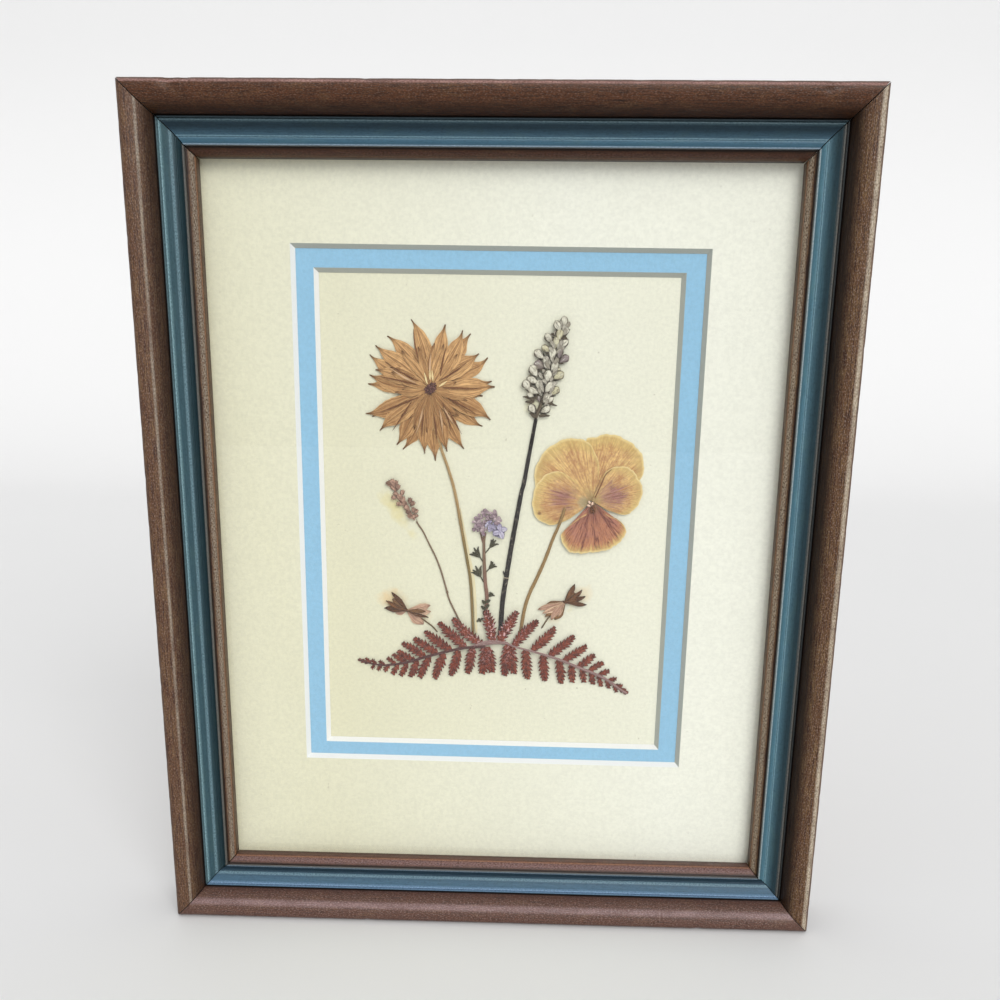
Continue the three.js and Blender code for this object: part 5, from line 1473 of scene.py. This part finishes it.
# Each frond: its stalk, then its leaflets as root, tip, width, and whether it lies over a stem.
FRONDS = {
    "fern_left_frond": (
        [(-49.2, -45.8), (-45.4, -47), (-41.9, -47.6), (-38.4, -47.6), (-31.4, -46.3), (-24.5, -44),
         (-17.5, -41.9), (-10.7, -40.3), (-5.5, -39.8), (-3, -39.5)],
        [
            ((-4.4, -39.2), (-14.8, -29.2), 4.6, True), ((-10.2, -40.1), (-19.8, -30.9), 4.4, True),
            ((-15.5, -41.4), (-24.9, -34.3), 4.3, True), ((-20.5, -42.6), (-29, -37.4), 4.1, False),
            ((-24.8, -44.1), (-33.3, -39.3), 3.7, False), ((-28.7, -45.6), (-34.7, -42.1), 3.2, False),
            ((-31.8, -46.4), (-36.6, -43.5), 2.7, False), ((-35.6, -47.1), (-38.6, -45), 2.1, False),
            ((-39.6, -47.6), (-41.4, -46.2), 1.7, False), ((-42.6, -47.4), (-44.2, -46), 1.6, False),
            ((-3.2, -39.8), (-4.4, -50.3), 5.2, False), ((-2.4, -39.8), (-0.6, -49.7), 5.0, False),
            ((-7.6, -40.2), (-9.6, -50.4), 4.3, False), ((-12.7, -41.4), (-15.7, -51.4), 4.3, False),
            ((-17.9, -42.6), (-21.4, -52.8), 4.2, False), ((-23.1, -44), (-26.8, -52.4), 3.8, False),
            ((-27.6, -45.5), (-30.4, -52.1), 3.4, False), ((-31.4, -46.7), (-33.9, -51.8), 2.9, False),
            ((-34.6, -47.3), (-36.7, -51.4), 2.6, False), ((-37.8, -47.5), (-39.6, -50.1), 2.1, False),
            ((-40.7, -47.5), (-42.1, -49.7), 1.9, False), ((-43.2, -47.4), (-44.3, -49.1), 1.6, False),
            ((-44.6, -47), (-46.4, -45.2), 1.3, False), ((-45.2, -47), (-49.3, -45.7), 1.7, False),
        ]),
    "fern_right_frond": (
        [(-1.4, -37.8), (0.6, -37.7), (4, -38.2), (7.6, -39.5), (15, -41.4), (22.4, -43.6), (29.8, -46.6),
         (37.3, -49.7), (41, -51.7), (44.8, -54.5), (48.4, -56.8)],
        [
            ((-0.4, -37.8), (-3.1, -26.2), 4.9, True), ((1.8, -37.8), (8.1, -26.4), 4.9, True),
            ((6.9, -39), (15.6, -29.6), 4.6, True), ((13.6, -40.7), (21.7, -31.9), 4.4, True),
            ((19.8, -42.5), (28.7, -35.4), 4.2, False), ((25, -44.4), (33.2, -38.9), 3.9, False),
            ((30.2, -46.6), (36.2, -42.1), 3.5, False), ((34.3, -48.4), (39.4, -45.1), 3, False),
            ((37.7, -49.9), (41.7, -48.3), 2.6, False), ((41.2, -51.9), (44.2, -51.2), 2, False),
            ((4.9, -38.7), (3.7, -50.9), 5.0, False), ((6.0, -38.8), (7.4, -50.1), 5.0, False),
            ((11.3, -40.5), (12.2, -52.1), 4.4, False), ((17.6, -42.1), (18.5, -52.7), 4.4, False),
            ((23.2, -43.9), (24.2, -53.5), 4.1, False), ((27.8, -45.8), (28.3, -52.9), 3.5, False),
            ((31.7, -47.2), (32.7, -52.8), 3, False), ((35, -48.9), (36.2, -53.6), 2.7, False),
            ((37.6, -50), (38.9, -54.3), 2.3, False), ((40.6, -51.5), (41.6, -54.9), 2.1, False),
            ((43.4, -53.5), (44.4, -56.2), 1.9, False), ((43.6, -53.6), (46.6, -53.6), 1.4, False),
            ((44.2, -54), (48.5, -56.8), 2.3, False),
        ]),
}
FERN_CROWN = [(-9, -40.2), (-4, -38.6), (0.5, -38), (5.5, -38.4)]   # where the two fronds meet
FERN_LIFT = 1.3
TOOTH_MM = 1.5   # from one tooth of a leaflet to the next


def fern_height(x):
    """The fern climbs over the stems in the middle and comes down to the card on both sides."""
    return FERN_LIFT * (1 - np.clip((np.abs(x - 1) - 21) / 22, 0, 1)) + 0.15


def leaflet(root, tip, width, over_stem, seed):
    """A blade with a row of forward-pointing teeth down each side, each a small domed leaf."""
    length, ahead, aside = directions(root, tip)
    draw = random.Random(seed)
    top = fern_height(root[0])
    low = top if over_stem else 0.3
    body = profile((0, 0.7), (0.2, 1), (0.5, 0.95), (0.8, 0.6), (1, 0.22))
    tooth = profile((0, 1), (0.45, 1), (0.8, 0.62), (1, 0.04))
    bend = draw.uniform(-0.05, 0.05) * length

    def level(u):
        return top + (low - top) * u + 0.3

    shade = draw.random()
    parts = [petal(root, tip, lambda u: 0.26 * width * body(u), level, 26, 8, bend, 0, 0.1, 0.1, 0.12,
                   seed, shade)]
    count = max(3, round(length / TOOTH_MM))
    for side in (-1, 1):
        for k in range(count):
            u = (k + 0.2 + 0.25 * (side > 0)) / count * 0.97
            sway = bend * math.sin(math.pi * u)
            start = Vector(root) + ahead * u * length + aside * (sway + 0.08 * side * width)
            reach = 0.47 * width * body(u) * draw.uniform(0.9, 1.12) + 0.12
            slant = draw.uniform(0.6, 0.85) + 0.35 * u
            end = start + aside * side * (reach - 0.08 * width) + ahead * slant * reach
            half = 0.35 * length / count * draw.uniform(0.85, 1.1)
            parts.append(petal(start, end, lambda t, w=half: w * tooth(t),
                               level(u) + draw.uniform(0.04, 0.2), 8, 6, -0.12 * side, 0.15 * side, 0.16,
                               -0.12, 0.08, seed + k, shade))
    return parts


def fern_skin(look):
    """Red-brown blade, darker at every tooth, with paler mottles and glints in the middle."""
    skin = Finish("fern_blade", roughness=0.65, specular_ior_level=0.08)
    uv = skin.along()
    u, v = skin.split(uv, "X"), skin.split(uv, "Y")
    place = skin.place()
    mottle = skin.noise(place, 800, 5, 0.7)
    patches = skin.noise(place, 130, 3, 0.6)
    glints = skin.noise(place, 1300, 3, 0.6)
    side = skin.from_midline(v)
    body, dark = look.fern, look.fern_dark
    blade = skin.over(body, tone(152, 80, 54), patches, 0.4, 0.65, 0.6)
    blade = skin.over(blade, dark, mottle, 0.46, 0.6, 0.85)
    blade = skin.over(blade, tone(172, 108, 80), mottle, 0.4, 0.28, 0.6)
    blade = skin.over(blade, dark, side, 0.6, 0.95, 0.7)
    blade = skin.over(blade, shaded(dark, 0.7), u, 0.62, 0.92, 0.85)
    middle = skin.distance(place, Vector(on_card(-0.5, -32, 1.5)))
    lit = skin.range(middle, 0.016, 0.005, 0.05, 0.95)
    sparkle = skin.maths("MULTIPLY", skin.range(glints, 0.56, 0.62), lit)
    blade = skin.mix(sparkle, blade, tone(224, 184, 182))
    return skin.set(base_color=blade, roughness=skin.range(mottle, 0.3, 0.7, 0.4, 0.7),
                    normal=skin.relief(mottle, 0.8, 0.0003))


class FLOWERFRAME_OT_fern(bpy.types.Operator):
    """Model the two fronds of red-brown fern with toothed leaflets"""

    bl_idname = "flower_frame.fern"
    bl_label = "Fern"

    def execute(self, context):
        look = context.scene.frame_plants
        blade = fern_skin(look)
        ribs = {"fern_left_frond": stalk("dark_rachis", tone(98, 62, 58), tone(60, 34, 32)),
                "fern_right_frond": stalk("grey_rachis", tone(164, 136, 130), tone(112, 84, 80))}
        for name, (line, leaflets) in FRONDS.items():
            blades = []
            for i, (root, tip, width, over) in enumerate(leaflets):
                blades += leaflet(root, tip, width, over, 11 * i + len(name))
            rachis = [stem("rachis", line, 0.95, 0.7, lambda x: fern_height(x) + 0.25, (0.5, 1.0),
                           0.06, 23)]
            if "right" in name:
                rachis.append(stem("crown", FERN_CROWN, 1.8, 0.7, FERN_LIFT + 0.2, (0.4, 0.5), 0.12, 29))
            plant(name.replace("frond", "leaves"), "fern", name, sheets(blade, blades, 0.16),
                  bodies(ribs[name], rachis))
        return {"FINISHED"}


# ---- Stage ------------------------------------------------------------------------------

# The camera's place in millimetres, and how it is turned from looking square at the glass.
CAMERA_PLACE = (10.0, -333.9, -72.75)
CAMERA_TILT, CAMERA_PAN, CAMERA_ROLL = -0.238, 0.025, 0.013
CAMERA_SHIFT = 0.095
KEY_DIRECTION = (0.32, -0.82, 0.5)   # towards the light
KEY_SPREAD = 38   # degrees across
FLOOR_GAP = 0.0002   # from the floor up to the foot of the frame


class FLOWERFRAME_OT_studio(bpy.types.Operator):
    """Set the pale floor and backdrop, the soft lights and the camera"""

    bl_idname = "flower_frame.studio"
    bl_label = "Studio"

    def execute(self, context):
        settings = context.scene.frame_studio
        self.set_floor(settings)
        self.set_lights(context, settings)
        self.set_camera(context, settings)
        return {"FINISHED"}

    def set_floor(self, settings):
        """A floor under the frame that sweeps up into a backdrop far behind it."""
        size, rise = 4.0, 2.4
        deselect()
        bpy.ops.mesh.primitive_plane_add(size=size, location=(0, 0, FOOT_Z - FLOOR_GAP))
        floor = bpy.context.object
        floor.name = "studio_floor"
        bpy.ops.object.mode_set(mode="EDIT")
        bpy.ops.mesh.select_all(action="DESELECT")
        bpy.ops.object.mode_set(mode="OBJECT")
        for edge in floor.data.edges:
            edge.select = all(floor.data.vertices[i].co.y > 0 for i in edge.vertices)
        bpy.ops.object.mode_set(mode="EDIT")
        bpy.ops.mesh.select_mode(type="EDGE")
        bpy.ops.mesh.extrude_region_move(TRANSFORM_OT_translate={"value": (0, 0, rise)})
        bpy.ops.object.mode_set(mode="OBJECT")
        apply(floor, "BEVEL", width=0.9, segments=24, limit_method="ANGLE")
        smooth(floor, 60)
        bpy.ops.object.transform_apply(location=True, rotation=True, scale=True)
        cloth = Finish("studio_paper", roughness=0.95, specular_ior_level=0.1)
        haze = cloth.noise(cloth.place(), 3, 2)
        pale = settings.floor
        cloth.set(base_color=cloth.mix(haze, pale, shaded(pale, 0.985)))
        cloth.on(floor)
        floor.visible_glossy = False

    def set_lights(self, context, settings):
        """An even sky, brighter from above, and one wide soft light."""
        world = context.scene.world or bpy.data.worlds.new("Studio")
        context.scene.world = world
        world.use_nodes = True
        background = world.node_tree.nodes["Background"]
        background.inputs["Color"].default_value = (1.0, 1.0, 1.0, 1)
        nodes, links = world.node_tree.nodes, world.node_tree.links
        ways = nodes.new("ShaderNodeTexCoord")
        split = nodes.new("ShaderNodeSeparateXYZ")
        ceiling = nodes.new("ShaderNodeMapRange")
        for socket, value in (("From Min", -0.1), ("From Max", 0.8), ("To Min", 0.5 * settings.fill),
                              ("To Max", settings.fill)):
            ceiling.inputs[socket].default_value = value
        links.new(ways.outputs["Generated"], split.inputs[0])
        links.new(split.outputs["Z"], ceiling.inputs["Value"])
        links.new(ceiling.outputs[0], background.inputs["Strength"])
        bpy.ops.object.light_add(type="SUN", location=KEY_DIRECTION)
        key = context.object
        key.name = "key_light"
        key.data.energy = settings.key
        key.data.angle = math.radians(KEY_SPREAD)
        key.rotation_euler = Vector(KEY_DIRECTION).to_track_quat("Z", "Y").to_euler()

    def set_camera(self, context, settings):
        """One camera in front of the glass, tilted and turned to see the whole frame."""
        bpy.ops.object.camera_add()
        camera = context.object
        camera.name = "picture_camera"
        turn = (Matrix.Rotation(math.pi / 2, 4, "X") @ Matrix.Rotation(CAMERA_PAN, 4, "Y")
                @ Matrix.Rotation(CAMERA_TILT, 4, "X") @ Matrix.Rotation(CAMERA_ROLL, 4, "Z"))
        camera.matrix_world = Matrix.Translation(Vector(CAMERA_PLACE) * MM) @ turn
        camera.data.lens = settings.lens / MM
        camera.data.shift_y = CAMERA_SHIFT
        camera.data.clip_start = 0.01
        context.scene.camera = camera
        context.scene.view_settings.view_transform = "Standard"


# ---- Panel and registration -------------------------------------------------------------

OPERATORS = (
    FLOWERFRAME_OT_studio,
    FLOWERFRAME_OT_moulding,
    FLOWERFRAME_OT_glazing,
    FLOWERFRAME_OT_star_flower,
    FLOWERFRAME_OT_lavender,
    FLOWERFRAME_OT_pansy,
    FLOWERFRAME_OT_small_spike,
    FLOWERFRAME_OT_blossom,
    FLOWERFRAME_OT_bells,
    FLOWERFRAME_OT_fern,
)


class FLOWERFRAME_PT_sidebar(bpy.types.Panel):
    """The settings and the pieces, in the order they are made"""

    bl_idname = "FLOWERFRAME_PT_sidebar"
    bl_label = "Pressed Flower Frame"
    bl_space_type = "VIEW_3D"
    bl_region_type = "UI"
    bl_category = "Flower Frame"

    def draw(self, context):
        for name, group in SETTINGS.items():
            box = self.layout.box()
            for setting in group.__annotations__:
                box.prop(getattr(context.scene, name), setting)
        for operator in OPERATORS:
            self.layout.operator(operator.bl_idname)


CLASSES = (*SETTINGS.values(), *OPERATORS, FLOWERFRAME_PT_sidebar)


def register():
    for item in CLASSES:
        bpy.utils.register_class(item)
    for name, group in SETTINGS.items():
        setattr(bpy.types.Scene, name, bpy.props.PointerProperty(type=group))


def unregister():
    for name in SETTINGS:
        delattr(bpy.types.Scene, name)
    for item in reversed(CLASSES):
        bpy.utils.unregister_class(item)


def main():
    register()
    for operator in OPERATORS:
        group, name = operator.bl_idname.split(".")
        getattr(getattr(bpy.ops, group), name)()


if __name__ == "__main__":
    main()
